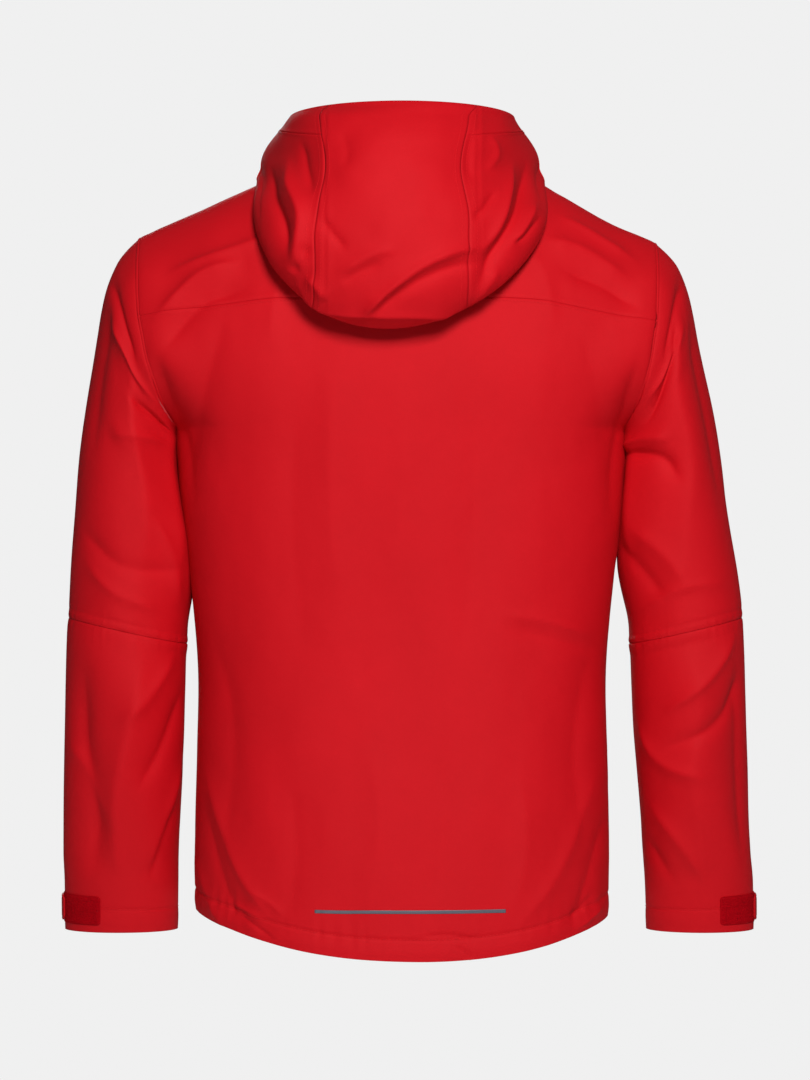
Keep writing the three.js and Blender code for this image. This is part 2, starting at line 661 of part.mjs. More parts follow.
const RING_STOPS = spread(0, 2 * Math.PI, 20).slice(0, 20);

function sleevePieces(side, sign) {
  const upper = (angle, t) => mirrorPoint(upperSleevePoint(angle, t), sign);
  const upperStops = [0, 0.06, 0.13, 0.22, 0.34, 0.47, 0.6, 0.73, 0.87, 1 - ELBOW_GAP];
  add(`sleeve_upper_${side}`, sheet(upper, RING_STOPS, upperStops, FABRIC, sign, true), SHELL_RED);
  const lower = (angle, t) => mirrorPoint(lowerSleevePoint(angle, t), sign);
  const lowerStops = [ELBOW_GAP, 0.15, 0.32, 0.5, 0.7, TAB_TOP, CUFF_HEM_START - CUFF_SEAM_GAP];
  add(`sleeve_lower_${side}`, sheet(lower, RING_STOPS, lowerStops, FABRIC, sign, true), SHELL_RED);
  const hemStops = [CUFF_HEM_START + CUFF_SEAM_GAP, TAB_BOTTOM, 1];
  add(`cuff_hem_${side}`, sheet(lower, RING_STOPS, hemStops, FABRIC * 1.5, sign, true), SHELL_RED);
}

// A strip around the cuff whose outer face stands off the sleeve by a distance.
function cuffStrip(sign, distance) {
  const box = { u0: -10, u1: 10, v0: 0, v1: 1 };
  return (angle, t) => {
    const normal = surfaceNormal(lowerSleevePoint, angle, t, box, 1);
    return mirrorPoint(lowerSleevePoint(angle, t).addScaledVector(normal, distance), sign);
  };
}

function cuffAdjuster(side, sign) {
  const patchTop = ADJUSTER_GAP + PATCH_THICKNESS;
  const rows = [TAB_TOP, CUFF_HEM_START, TAB_BOTTOM];
  const patchAngles = spread(PATCH_START_ANGLE * DEGREE, PATCH_END_ANGLE * DEGREE, 5);
  const patch = sheet(cuffStrip(sign, patchTop), patchAngles, rows, PATCH_THICKNESS, sign);
  add(`cuff_loop_patch_${side}`, patch, LOOP_FABRIC);
  const tabAngles = spread(TAB_SEWN_ANGLE * DEGREE, TAB_FREE_ANGLE * DEGREE, 4);
  const tabRows = [TAB_TOP + TAB_MARGIN, CUFF_HEM_START, TAB_BOTTOM - TAB_MARGIN];
  const tabFace = cuffStrip(sign, patchTop + ADJUSTER_GAP + TAB_THICKNESS);
  add(`cuff_tab_${side}`, sheet(tabFace, tabAngles, tabRows, TAB_THICKNESS, sign), SHELL_RED_DARK);
}

// ---------------------------------------------------------------- hood and collar
// angle is 0 at the middle of the back and +-90 degrees at the wearer's sides.
function necklineColumnHeight(angle) {
  const x = NECK_HALF_WIDTH * Math.sin(angle);
  const z = Math.min(backTop(Math.abs(x)), shoulderZ(x) - 0.02);
  return { x, h: zToHeight(x, z) };
}

function bagEdgeColumnHeight(angle) {
  const x = BAG_HALF_WIDTH * Math.sin(angle);
  return { x, h: zToHeight(x, -BAG_DEPTH * Math.cos(angle)) };
}

function neckPanelPoint(angle, t) {
  const top = necklineColumnHeight(angle);
  const bottom = bagEdgeColumnHeight(angle);
  const x = mix(top.x, bottom.x, t);
  const h = mix(top.h, bottom.h, t);
  const u = columnFor(x, heightToZ(x, h));
  const standoff = HOOD_REST_GAP + FABRIC + (2 + BAG_STANDOFF * Math.cos(angle)) * t * t;
  return offsetTorso(1, u, h, standoff);
}

function rimPoint(angle) {
  const c = Math.cos(angle);
  return new THREE.Vector3(RIM_HALF_WIDTH * Math.sin(angle), RIM_SIDE_Y + RIM_REACH * c, RIM_Z + 2 * c);
}

// t runs from 0 at the rim of the hood to 1 at the bottom edge of the bag.
function crownPoint(angle, t) {
  const s = Math.sin(angle);
  const c = Math.cos(angle);
  const rim = rimPoint(angle);
  const edge = neckPanelPoint(angle, 1);
  const upper = rim.clone().add(new THREE.Vector3(15 * s, 60 * c, -20 - 22 * c));
  const lower = edge.clone().add(new THREE.Vector3(8 * s, 57 * c, 25 - 5 * c));
  return new THREE.CubicBezierCurve3(rim, upper, lower, edge).getPoint(t);
}

// Angle at which the crown reaches a given x on the profile position t.
function crownAngleAt(x, t) {
  let low = 0;
  let high = HOOD_END_ANGLE * DEGREE;
  for (let i = 0; i < 24; i += 1) {
    const middle = (low + high) / 2;
    if (crownPoint(middle, t).x < Math.abs(x)) {
      low = middle;
    } else {
      high = middle;
    }
  }
  return Math.sign(x) * low;
}

function hoodPieces() {
  const centre = (a, t) => crownPoint(a * crownAngleAt(HOOD_SEAM_X - HALF_GAP, t), t);
  const lowEnd = 0.97; // leaves room for the neck panel at the bottom edge
  add('hood_centre_panel', sheet(centre, spread(-1, 1, 8), spread(0, lowEnd, 11), FABRIC, -1), SHELL_RED);
  const end = HOOD_END_ANGLE * DEGREE;
  for (const [side, sign] of [['left', 1], ['right', -1]]) {
    const face = (a, t) => crownPoint(sign * mix(crownAngleAt(HOOD_SEAM_X + HALF_GAP, t), end, a), t);
    const brim = sheet(face, spread(0, 1, 6), spread(0, BRIM_PART - 0.001, 3), FABRIC, -sign);
    add(`hood_brim_${side}`, brim, SHELL_RED);
    const panel = sheet(face, spread(0, 1, 6), spread(BRIM_PART + 0.001, lowEnd, 8), FABRIC, -sign);
    add(`hood_side_${side}`, panel, SHELL_RED);
  }
  const neckEnd = NECK_PANEL_END_ANGLE * DEGREE;
  add('hood_neck_panel', sheet(neckPanelPoint, spread(-neckEnd, neckEnd, 16), spread(0.03, 1, 6), FABRIC, 1),
    SHELL_RED_DARK);
}

function collarPoint(sign) {
  return (angle, t) => {
    const s = Math.sin(angle);
    const x = NECK_HALF_WIDTH * s;
    const back = angle > Math.PI / 2;
    const z = back ? backTop(x) : frontTop(x);
    const base = new THREE.Vector3(x, torsoY(back ? 1 : -1, x, z), z);
    const rise = ZIP_TOP.z + COLLAR_SIDE_RISE * s * s;
    const top = new THREE.Vector3(COLLAR_TOP_HALF_WIDTH * s, ZIP_TOP.y * Math.cos(angle), rise);
    base.lerp(top, t);
    base.z += SEAM_GAP * (1 - t);
    return mirrorPoint(base, sign);
  };
}

function collarPieces(side, sign) {
  const stops = NECK_STOPS.map((x) => Math.asin(x / NECK_HALF_WIDTH));
  add(`collar_${side}`, sheet(collarPoint(sign), stops, spread(0, 1, 3), FABRIC, sign), SHELL_RED);
}

// A small cover that the slider parks under at the top of the zip.
function chinGuard() {
  const guard = block(-FRONT_EDGE_X + 0.5, FRONT_EDGE_X - 0.5, ZIP_LENGTH + 0.6, ZIP_LENGTH + 2.2, -9, 1.5);
  add('chin_guard', guard.applyMatrix4(ZIP_FRAME), SHELL_RED_DARK);
}

// A webbing arch inside the nape; a hook bears on the underside of its level bar.
function hangerLoop() {
  const profile = new THREE.Shape();
  const half = LOOP.span / 2;
  const bar = LOOP.bar / 2;
  const inner = LOOP.rise - LOOP.thickness;
  profile.moveTo(-half, 0);
  profile.lineTo(-half + 3, 0);
  profile.lineTo(-bar + 1, inner);
  profile.lineTo(bar - 1, inner);
  profile.lineTo(half - 3, 0);
  profile.lineTo(half, 0);
  profile.lineTo(bar, LOOP.rise);
  profile.lineTo(-bar, LOOP.rise);
  const loop = new THREE.ExtrudeGeometry(profile, { depth: LOOP.width, bevelEnabled: false });
  const top = BACK_NECK_Z - 10;
  const wall = torsoY(1, half, top) - FABRIC - 2.4;
  loop.rotateX(Math.PI / 2).translate(0, wall, top - LOOP.rise);
  add('hanger_loop', loop, CORD);
}

// ---------------------------------------------------------------- hem tunnel
function hemPieces() {
  const top = (hem) => (x) => hem(x) + TUNNEL_HEIGHT;
  const back = torsoFace(1, (x) => backHem(x) + 0.5, top(backHem), -TUNNEL_DEPTH);
  add('hem_facing_back', sheet(back, spread(-0.9, 0.9, 16), [0, 1], FACING, -1), SHELL_RED_DARK);
  for (const [side, sign] of [['left', 1], ['right', -1]]) {
    const face = torsoFace(-1, (x) => frontHem(x) + 0.5, top(frontHem), -TUNNEL_DEPTH);
    const columns = spread(columnFor(34, HEM_SIDE_Z), 0.84, 8);
    const facing = sheet(face, sign > 0 ? columns : mirrored(columns), [0, 1], FACING, 1);
    add(`hem_facing_front_${side}`, facing, SHELL_RED_DARK);
  }
  add('hem_drawcord', drawcord(), CORD);
}

function lockX() {
  return edgeX(LOCK_Z) - FABRIC - 2.4 - LOCK.width / 2;
}

function drawcord() {
  const x = lockX();
  const points = [new THREE.Vector3(x, LOCK_Y - LOCK.length / 2 - 14, LOCK_Z)];
  points.push(new THREE.Vector3(x, LOCK_Y, LOCK_Z));
  points.push(new THREE.Vector3(x, LOCK_Y + LOCK.length / 2 + 4, LOCK_Z));
  for (const u of spread(0.94, -0.94, 22)) {
    const h = heightOfLine(u, backHem) + TUNNEL_HEIGHT / 2;
    points.push(offsetTorso(1, u, h, -CORD_DEPTH));
  }
  points.push(new THREE.Vector3(-x, LOCK_Y + LOCK.length / 2 + 4, LOCK_Z));
  points.push(new THREE.Vector3(-x, LOCK_Y, LOCK_Z));
  points.push(new THREE.Vector3(-x, LOCK_Y - LOCK.length / 2 - 14, LOCK_Z));
  const path = new THREE.CatmullRomCurve3(points, false, 'centripetal');
  const circle = new THREE.Shape();
  circle.absarc(0, 0, CORD_RADIUS, 0, Math.PI * 2, false);
  return new THREE.ExtrudeGeometry(circle, {
    steps: 60, bevelEnabled: false, extrudePath: path, curveSegments: 3,
  });
}

function cordLock(side, sign) {
  const half = { w: LOCK.width / 2, l: LOCK.length / 2, h: LOCK.height / 2 };
  const place = new THREE.Matrix4().makeTranslation(sign * lockX(), LOCK_Y, LOCK_Z);
  const body = block(-half.w, half.w, -half.l, half.l, -half.h, half.h);
  const bore = rod(PLUNGER_RADIUS + PLUNGER_GAP, LOCK.height, 'z').translate(0, 0, 1.6);
  const cordHole = rod(CORD_RADIUS + 0.5, LOCK.length * 2, 'y', 12);
  add(`cord_lock_${side}`, cut(body, bore, cordHole).applyMatrix4(place), PLASTIC);
  const stem = rod(PLUNGER_RADIUS, 13, 'z').translate(0, 0, 3.2);
  const head = rod(3.6, 2.4, 'z').translate(0, 0, 3.2 + 6.5 + 2.4);
  const neck = rod(PLUNGER_RADIUS, 3, 'z').translate(0, 0, 3.2 + 6.5);
  const window = block(-1.9, 1.9, -6, 6, -1.9, 5.2);
  const plunger = cut(join(stem, neck, head), window);
  add(`cord_plunger_${side}`, plunger.applyMatrix4(place), PLASTIC);
}

// ---------------------------------------------------------------- assembly
backPieces();
zipPieces();
hoodPieces();
chinGuard();
hangerLoop();
hemPieces();
for (const [side, sign] of [['left', 1], ['right', -1]]) {
  frontPieces(side, sign);
  pocketPieces(side, sign);
  collarPieces(side, sign);
  sleevePieces(side, sign);
  cuffAdjuster(side, sign);
  cordLock(side, sign);
}

export default group;
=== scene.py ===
"""Looks of the hardshell jacket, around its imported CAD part. Lengths are in mm until a mesh is made."""
import math

import bpy
import numpy as np
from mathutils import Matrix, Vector


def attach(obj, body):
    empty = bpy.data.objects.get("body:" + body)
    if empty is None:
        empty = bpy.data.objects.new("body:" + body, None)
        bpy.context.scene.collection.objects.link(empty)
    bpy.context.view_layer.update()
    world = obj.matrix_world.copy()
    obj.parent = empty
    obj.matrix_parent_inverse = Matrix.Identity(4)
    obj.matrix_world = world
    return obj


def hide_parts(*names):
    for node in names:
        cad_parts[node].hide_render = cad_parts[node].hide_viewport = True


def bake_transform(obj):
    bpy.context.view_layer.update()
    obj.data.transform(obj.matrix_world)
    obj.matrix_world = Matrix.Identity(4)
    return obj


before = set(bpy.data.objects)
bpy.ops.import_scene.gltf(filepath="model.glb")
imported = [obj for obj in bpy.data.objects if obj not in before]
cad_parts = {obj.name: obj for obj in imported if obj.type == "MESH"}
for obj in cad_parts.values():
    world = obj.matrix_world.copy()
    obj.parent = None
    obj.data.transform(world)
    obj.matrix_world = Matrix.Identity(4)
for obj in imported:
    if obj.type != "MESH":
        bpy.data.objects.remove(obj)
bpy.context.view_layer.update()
MM = 0.001
DEGREE = math.pi / 180
SIDES = (("left", 1), ("right", -1))

# ------------------------------------------------------------ dimensions shared with the CAD part
SECTION_POWER = 2.4
ARMPIT_Z = -240
SHOULDER_TIP_X = 262
SHOULDER_TIP_Z = -48.5
SHOULDER_SLOPE = 0.44
NECK_HALF_WIDTH = 82
SHOULDER_NECK_Z = 30.7
NAPE_RIDGE_Z = 124
CHEST_Z = -200
CLOSURE_HEIGHT = 300
ARMHOLE_FULLNESS = 0.6
ARMHOLE_ROUNDING = 63
EVEN_STEPS = (-36, -18, 0, 18, 36)  # the bulge of the body is evened out over these heights
EXACT_FROM = 0.72  # but from this part of the width on it turns exact, to meet the sleeves
FIRST_X = 150.0  # first guess of a place across
ROUNDS = 6  # of working towards a place
SIDE_WIDTHS = ((-760, 203), (-720, 205), (-650, 207), (-560, 205), (-480, 204), (-395, 211), (-320, 220),
               (ARMPIT_Z, 228))
ARMHOLE_WIDTHS = ((ARMPIT_Z, 228), (-177, 248), (-153, 253), (-124, 258), (SHOULDER_TIP_Z, SHOULDER_TIP_X))
BACK_DEPTHS = ((-760, 137), (-650, 134), (-480, 126), (-350, 129), (-200, 136), (40, 135))
ZIP_BOTTOM = (-150, -714)
ZIP_TOP = (-105, 48)
HEM_SIDE_Z = -717
DROP_TAIL = 38
HEM_HALF_WIDTH = 203
YOKE_SEAM_Z = -113
YOKE_SEAM_DROP = 19
BACK_NECK_Z = 38
BACK_NECK_DROP = 7.3
FRONT_NECK_Z = -50
FRONT_EDGE_X = 9
SLEEVE_UPPER_OUTER = ((0, 262, -48.5), (0.046, 275, -61), (0.085, 284, -73), (0.151, 294, -97),
                      (0.215, 300, -121), (0.276, 304, -145), (0.34, 308, -170), (0.47, 316, -220),
                      (0.6, 322, -270), (0.73, 326, -320), (0.856, 330, -370), (1, 333, -427))
SLEEVE_UPPER_INNER = ((0, 228, -240), (0.151, 232.5, -247), (0.276, 235, -257), (0.34, 235, -265),
                      (0.47, 232, -287), (0.6, 225.5, -320), (0.73, 219, -360), (0.856, 215.5, -405),
                      (1, 215, -453))
SLEEVE_UPPER_DEPTHS = ((0, 78), (0.34, 73), (0.7, 67), (1, 62))
SLEEVE_LOWER_OUTER = ((0, 333, -427), (0.3, 337, -522), (0.7, 340, -648), (1, 341, -743))
SLEEVE_LOWER_INNER = ((0, 215, -453), (0.3, 218.5, -540), (0.7, 224.5, -656), (1, 227, -743))
SLEEVE_LOWER_DEPTHS = ((0, 62), (0.5, 55), (1, 45))
FOREARM_LEAN = 45
RIM_HALF_WIDTH = 113
RIM_SIDE_Y = 8
RIM_REACH = 132
RIM_Z = 70
BAG_HALF_WIDTH = 148
BAG_DEPTH = 150
BAG_STANDOFF = 17
HOOD_REST_GAP = 4
HOOD_SEAM_X = 73
POCKET_X = 125
POCKET_TOP_Z = -430
POCKET_BOTTOM_Z = -590
SLOT_WIDTH = 13
SLOT_END = 4  # the slot runs on past each end of the zip
STRIPE = {"width": 184, "height": 3.2, "z": -708, "x": -8, "cloth": 0.3}
TUNNEL_HEIGHT = 21  # from the hem to the stitch line of the cord's tunnel
TUNNEL_MIDDLE = 9
CUFF_HEM_START = 0.92
CUFF_CALM = 0.85  # below this part of the forearm the cloth lies smooth under the tab
CALM_GAIN = 0.12  # what is left of the folds there
CUFF_SWELL = 0.4  # height of the cuff's hem, and depth of its stitch line
TAB_SEWN_ANGLE = -54
TAB_FREE_ANGLE = 18
PATCH_START_ANGLE = -18
PATCH_END_ANGLE = 72
TAB_TOP = 0.88
TAB_BOTTOM = 0.975
TAB_MARGIN = 0.006
PATCH_CORNER = (5, 0.2)
TAB_CORNER = (9, 0.4)
PATCH_CLOTH, TAB_CLOTH = 0.7, 1.3
PATCH_TOP = 1.3  # from the sleeve to the outer face of the loop patch
TAB_FACE = 3.1  # from the sleeve to the outer face of the tab
ARM_HANG = {"left": (0.0, 0.0), "right": (9.5, 8.0)}  # how much further out an elbow and a cuff hang
ELBOW_HANG_START, ELBOW_HANG_LENGTH = -300, 130
CUFF_HANG_START, CUFF_HANG_LENGTH = -520, 220
SLIM = {"left": 0.0, "right": 0.048}  # how much narrower a sleeve falls than its CAD sleeve
SHOULDER_SAG = (9.0, 5.0)  # the right shoulder falls inwards and down
HEM_SAG = 6.5  # the hem hangs lower on the right
UNDERARM_TOUCH = 10.0  # the cloth of the upper arm rests against the torso
ARMHOLE_LIFT = 9
ARMHOLE_LIFT_WIDTH = 34
LEVEL_PART = 0.62  # part of the rows of a front panel that lie below the level row at the chest
LEVEL_HEIGHT = -20  # place of that level row
UPPER_SLEEVE_LENGTH = 385
LOWER_SLEEVE_LENGTH = 318
FRONT_FOLD_GAIN = 0.7  # depth of the same folds where they are mirrored to the front of a sleeve
LENGTH_PER_DEGREE = 1.05  # round a sleeve
HEAD_CALM = 0.15  # the folds of an upper sleeve fade in over this part of it, below the armhole
SEAM_CALM = 16  # the folds of a sleeve fade out this close to the elbow seam
RING_ANGLES = np.linspace(0, 2 * math.pi, 121)[:-1]  # columns round a sleeve
CLOTH = 1.1  # visible thickness of one panel
BODY_CLOTH = 1.6
LOWER_SLEEVE_CLOTH = 1.8
SEAM_LAP, SEAM_SINK, SEAM_STEP = 3.0, 1.1, 0.3  # how a sleeve runs in under the edge before it
WELT_STOPS = (-3.6, -2.7, -1.8, -0.9, 0.0, 0.9, 1.8, 2.7, 3.6)  # places across an armhole seam
WELT_HEIGHT = 0.55
WELT_ROUNDING = 1.9
WELT_CLOTH = 0.5
HALF_SECTION = 300  # length of cloth from the middle of the back to the armhole
GRID = 3.0  # usual mesh spacing on the cloth


# ------------------------------------------------------------ helpers
def mix(a, b, t):
    return a + (b - a) * t


def smooth(t):
    c = np.clip(t, 0, 1)
    return c * c * (3 - 2 * c)


def bell(distance, width):
    return np.exp(-(distance / width) ** 2)


def curve(rows, key, column=1):
    """Smooth curve through rows of (key, value, ...), the same one as in the CAD part."""
    table = np.array(rows, float)
    keys, values = table[:, 0], table[:, column]
    key = np.clip(np.asarray(key, float), keys[0], keys[-1])
    last = len(keys) - 1
    i = np.clip(np.searchsorted(keys, key, side="right") - 1, 0, last - 1)
    before, after = np.maximum(np.arange(last + 1) - 1, 0), np.minimum(np.arange(last + 1) + 1, last)
    slopes = (values[after] - values[before]) / (keys[after] - keys[before])
    width = keys[i + 1] - keys[i]
    t = (key - keys[i]) / width
    t2, t3 = t * t, t * t * t
    start = values[i] * (2 * t3 - 3 * t2 + 1) + slopes[i] * width * (t3 - 2 * t2 + t)
    return start + values[i + 1] * (3 * t2 - 2 * t3) + slopes[i + 1] * width * (t3 - t2)


def noise(x, y, seed):
    """Smooth noise between -1 and 1 with features about 1 unit wide."""
    lattice = np.random.RandomState(seed).uniform(-1, 1, (64, 64))
    xi, yi = np.floor(x).astype(int), np.floor(y).astype(int)
    fx, fy = x - xi, y - yi
    fx, fy = fx * fx * fx * (fx * (fx * 6 - 15) + 10), fy * fy * fy * (fy * (fy * 6 - 15) + 10)
    low = mix(lattice[xi % 64, yi % 64], lattice[(xi + 1) % 64, yi % 64], fx)
    high = mix(lattice[xi % 64, (yi + 1) % 64], lattice[(xi + 1) % 64, (yi + 1) % 64], fx)
    return mix(low, high, fy)


def smooth_line(points, steps=8):
    """Catmull-Rom curve through a few points."""
    p = np.array(points, float)
    if len(p) == 2:
        return np.linspace(p[0], p[1], steps + 1)
    p = np.vstack([2 * p[0] - p[1], p, 2 * p[-1] - p[-2]])
    out = []
    for i in range(1, len(p) - 2):
        t = np.linspace(0, 1, steps, endpoint=False)[:, None]
        a, b, c, d = p[i - 1], p[i], p[i + 1], p[i + 2]
        out.append(0.5 * (2 * b + (c - a) * t + (2 * a - 5 * b + 4 * c - d) * t ** 2
                          + (3 * b - a - 3 * c + d) * t ** 3))
    out.append(p[-2][None])
    return np.vstack(out)


def rumple(depth, x, z, waves):
    """Adds soft random waves, each (height, size in x, size in z, shift in x, shift in z, seed)."""
    for height, size_x, size_z, shift_x, shift_z, seed in waves:
        depth = depth + height * noise(x / size_x + shift_x, z / size_z + shift_z, seed)
    return depth


CREASE_TIP = 0.17  # roundness of a crease, as a part of its width
CREASE_REACH = 3.2  # how far it is felt, in widths


def folds(x, z, strokes):
    """Sum of fold strokes with a crisp crest. Each is (points, width, height[, width of its left side]).
    The left side is seen along the stroke's direction and its width is a part of the other side's."""
    total = np.zeros(np.broadcast(x, z).shape)
    for stroke in strokes:
        points, width, height = stroke[:3]
        steep = stroke[3] if len(stroke) > 3 else 1.0
        line = smooth_line(points)
        reach = CREASE_REACH * width
        low, high = line.min(axis=0) - reach, line.max(axis=0) + reach
        near = (x > low[0]) & (x < high[0]) & (z > low[1]) & (z < high[1])
        if not near.any():
            continue
        nx, nz = x[near], z[near]
        best = np.full(nx.shape, 1e9)
        place = np.zeros(nx.shape)
        side = np.ones(nx.shape)
        count = len(line) - 1
        for i in range(count):
            ax, az = line[i]
            dx, dz = line[i + 1] - line[i]
            t = np.clip(((nx - ax) * dx + (nz - az) * dz) / (dx * dx + dz * dz + 1e-9), 0, 1)
            distance = np.hypot(nx - ax - t * dx, nz - az - t * dz)
            closer = distance < best
            best = np.where(closer, distance, best)
            place = np.where(closer, (i + t) / count, place)
            side = np.where(closer, np.sign(dx * (nz - az) - dz * (nx - ax)), side)
        taper = smooth(place / 0.3) * smooth((1 - place) / 0.3)
        own_width = np.where(side > 0, width * steep, width)
        tip = CREASE_TIP * own_width
        total[near] += height * taper * np.exp(-(np.sqrt(best ** 2 + tip ** 2) - tip) / own_width * 1.5)
    return total


def grid_normals(points, flip, ring=False):
    """Unit normals of a grid of points (rows, columns, 3)."""
    along = np.gradient(points, axis=0)
    if ring:
        across = (np.roll(points, -1, axis=1) - np.roll(points, 1, axis=1)) / 2
    else:
        across = np.gradient(points, axis=1)
    normal = np.cross(across, along)
    normal /= np.linalg.norm(normal, axis=2, keepdims=True) + 1e-12
    return -normal if flip else normal


def cloth_lengths(points):
    """Lengths along the rows and the columns of a grid, as texture coordinates in millimetres."""
    across = np.zeros(points.shape[:2])
    across[:, 1:] = np.cumsum(np.linalg.norm(np.diff(points, axis=1), axis=2), axis=1)
    across -= across[:, [points.shape[1] // 2]]
    along = np.zeros(points.shape[:2])
    along[1:] = np.cumsum(np.linalg.norm(np.diff(points, axis=0), axis=2), axis=0)
    return across, along


def add_to_scene(name, data):
    thing = bpy.data.objects.new(name, data)
    bpy.context.scene.collection.objects.link(thing)
    return thing


def mesh_object(name, vertices, faces, materials, face_materials=None, uv=None):
    """A smooth-shaded mesh object. Its vertices, and one (u, v) for each vertex, are in millimetres."""
    mesh = bpy.data.meshes.new(name)
    mesh.from_pydata((np.asarray(vertices) * MM).tolist(), [], np.asarray(faces).tolist())
    for material in materials:
        mesh.materials.append(material)
    if face_materials is not None:
        mesh.polygons.foreach_set("material_index", np.asarray(face_materials, np.int32))
    mesh.polygons.foreach_set("use_smooth", np.ones(len(mesh.polygons), bool))
    if uv is not None:
        layer = mesh.uv_layers.new(name="cloth")
        corner = np.zeros(len(mesh.loops), np.int32)
        mesh.loops.foreach_get("vertex_index", corner)
        layer.data.foreach_set("uv", (np.asarray(uv)[corner] * MM).astype(np.float32).ravel())
    mesh.validate()
    mesh.update()
    return add_to_scene(name, mesh)


def sheet_object(name, points, normals, flip, materials, thickness=CLOTH, ring=False, open_quads=None):
    """A cloth panel with an outer face, an inner face in the second material and closed edges.
    open_quads marks the squares of the grid that are left out, as the slot of a pocket."""
    rows, columns = points.shape[:2]
    count = rows * columns
    inner = points - normals * thickness
    index = np.arange(count).reshape(rows, columns)
    if ring:
        index = np.hstack([index, index[:, :1]])
    a, b, c, d = index[:-1, :-1], index[:-1, 1:], index[1:, 1:], index[1:, :-1]
    quads = np.stack([a, b, c, d], axis=-1)
    quads = quads.reshape(-1, 4) if open_quads is None else quads[~open_quads]
    if flip:
        quads = quads[:, ::-1]
    edges = np.vstack([quads[:, [k, (k + 1) % 4]] for k in range(4)])
    free = edges[~np.isin(edges[:, 0] * count + edges[:, 1], edges[:, 1] * count + edges[:, 0])]
    walls = np.stack([free[:, 1], free[:, 0], free[:, 0] + count, free[:, 1] + count], axis=-1)
    faces = np.vstack([quads, quads[:, ::-1] + count, walls])
    kinds = np.repeat([0, 1, 0], [len(quads), len(quads), len(walls)])
    u, v = cloth_lengths(points)
    uv = np.stack([u, v], axis=-1).reshape(-1, 2)
    vertices = np.vstack([points.reshape(-1, 3), inner.reshape(-1, 3)])
    thing = mesh_object(name, vertices, faces, materials, kinds, np.vstack([uv, uv]))
    shading = np.repeat([True, False], [2 * len(quads), len(walls)])
    thing.data.polygons.foreach_set("use_smooth", shading)
    return thing


def weigh(thing):
    """Bakes the transform of a piece into its mesh."""
    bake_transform(thing)


def declare(thing, slot, *nodes, body=None):
    """The material slot of a piece (not used), the CAD nodes that it replaces and the body that it rides on.
    """
    if nodes:
        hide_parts(*nodes)
    if body:
        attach(thing, body)


def loop_faces(index):
    """Four-sided faces of tubes whose closed sections are the rows of the last axis."""
    turned = np.roll(index, -1, axis=-1)
    corners = [index[..., :-1, :], turned[..., :-1, :], turned[..., 1:, :], index[..., 1:, :]]
    return np.stack(corners, axis=-1).reshape(-1, 4)


def unit(vectors):
    return vectors / np.linalg.norm(vectors, axis=-1, keepdims=True)


def hem_sag(x, z):
    return HEM_SAG * smooth((30 - x) / 200) * smooth((222 + x) / 12) * smooth((-640 - z) / 80)


def settle(points):
    """How the worn jacket hangs off true: its right shoulder sags and its hem is lower on the right."""
    x, z = points[..., 0], points[..., 2]
    shoulder = smooth((-x - 120) / 110) * smooth((z + 330) / 230)
    moved = points.copy()
    moved[..., 0] += SHOULDER_SAG[0] * shoulder
    moved[..., 2] -= SHOULDER_SAG[1] * shoulder + hem_sag(x, z)
    return moved


# ------------------------------------------------------------ torso surface
def shoulder_z(x):
    out = np.abs(x)
    inside = 1 - np.minimum(out / NECK_HALF_WIDTH, 1) ** 2
    shoulder_rise = SHOULDER_SLOPE * NECK_HALF_WIDTH / 2
    nape_rise = NAPE_RIDGE_Z - SHOULDER_NECK_Z - shoulder_rise
    beyond = SHOULDER_SLOPE * np.maximum(out - NECK_HALF_WIDTH, 0)
    return SHOULDER_NECK_Z - beyond + shoulder_rise * inside + nape_rise * inside * inside


def edge_x(z):
    return np.where(z < ARMPIT_Z, curve(SIDE_WIDTHS, z), curve(ARMHOLE_WIDTHS, z))


def section_width(z):
    t = np.clip((z - ARMPIT_Z) / ARMHOLE_ROUNDING, 0, 1)
    fullness_at_edge = ARMHOLE_FULLNESS * np.sqrt(1 - (1 - t) ** 2)
    return edge_x(z) / (1 - fullness_at_edge ** SECTION_POWER) ** (1 / SECTION_POWER)


def fullness(x, z):
    exact = section_width(z)
    even = sum(section_width(z + offset) for offset in EVEN_STEPS) / len(EVEN_STEPS)
    near_edge = smooth((np.abs(x) / edge_x(z) - EXACT_FROM) / 0.2)
    across = np.clip(np.abs(x) / mix(even, exact, near_edge), 0, 1)
    part = np.clip((z - CHEST_Z) / (shoulder_z(x) - CHEST_Z), 0, 1)
    return (1 - across ** SECTION_POWER) ** (1 / SECTION_POWER) * np.sqrt(1 - part * part)


def zip_y(z):
    return mix(ZIP_BOTTOM[0], ZIP_TOP[0], (z - ZIP_BOTTOM[1]) / (ZIP_TOP[1] - ZIP_BOTTOM[1]))


def torso_y(side, x, z):
    """side is +1 for the back and -1 for the front, and may be an array."""
    back = curve(BACK_DEPTHS, z) * fullness(x, z)
    front = zip_y(z) * fullness(x, z) / np.maximum(fullness(np.zeros_like(x), z), 1e-3)
    return np.where(np.asarray(side) > 0, back, front)


def column_x(u, z):
    width = section_width(z)
    edge = np.arcsin((edge_x(z) / width) ** (SECTION_POWER / 2))
    return np.sign(u) * width * np.sin(np.abs(u) * edge) ** (2 / SECTION_POWER)


def column_for(x, z):
    width = section_width(z)
    edge = np.arcsin((edge_x(z) / width) ** (SECTION_POWER / 2))
    return np.sign(x) * np.arcsin(np.clip(np.abs(x) / width, 0, 1) ** (SECTION_POWER / 2)) / edge


def height_to_z(x, h):
    turn = np.sin(np.clip(h / CLOSURE_HEIGHT, 0, 1) * math.pi / 2)
    return np.where(h <= 0, CHEST_Z + h, CHEST_Z + (shoulder_z(x) - CHEST_Z) * turn)


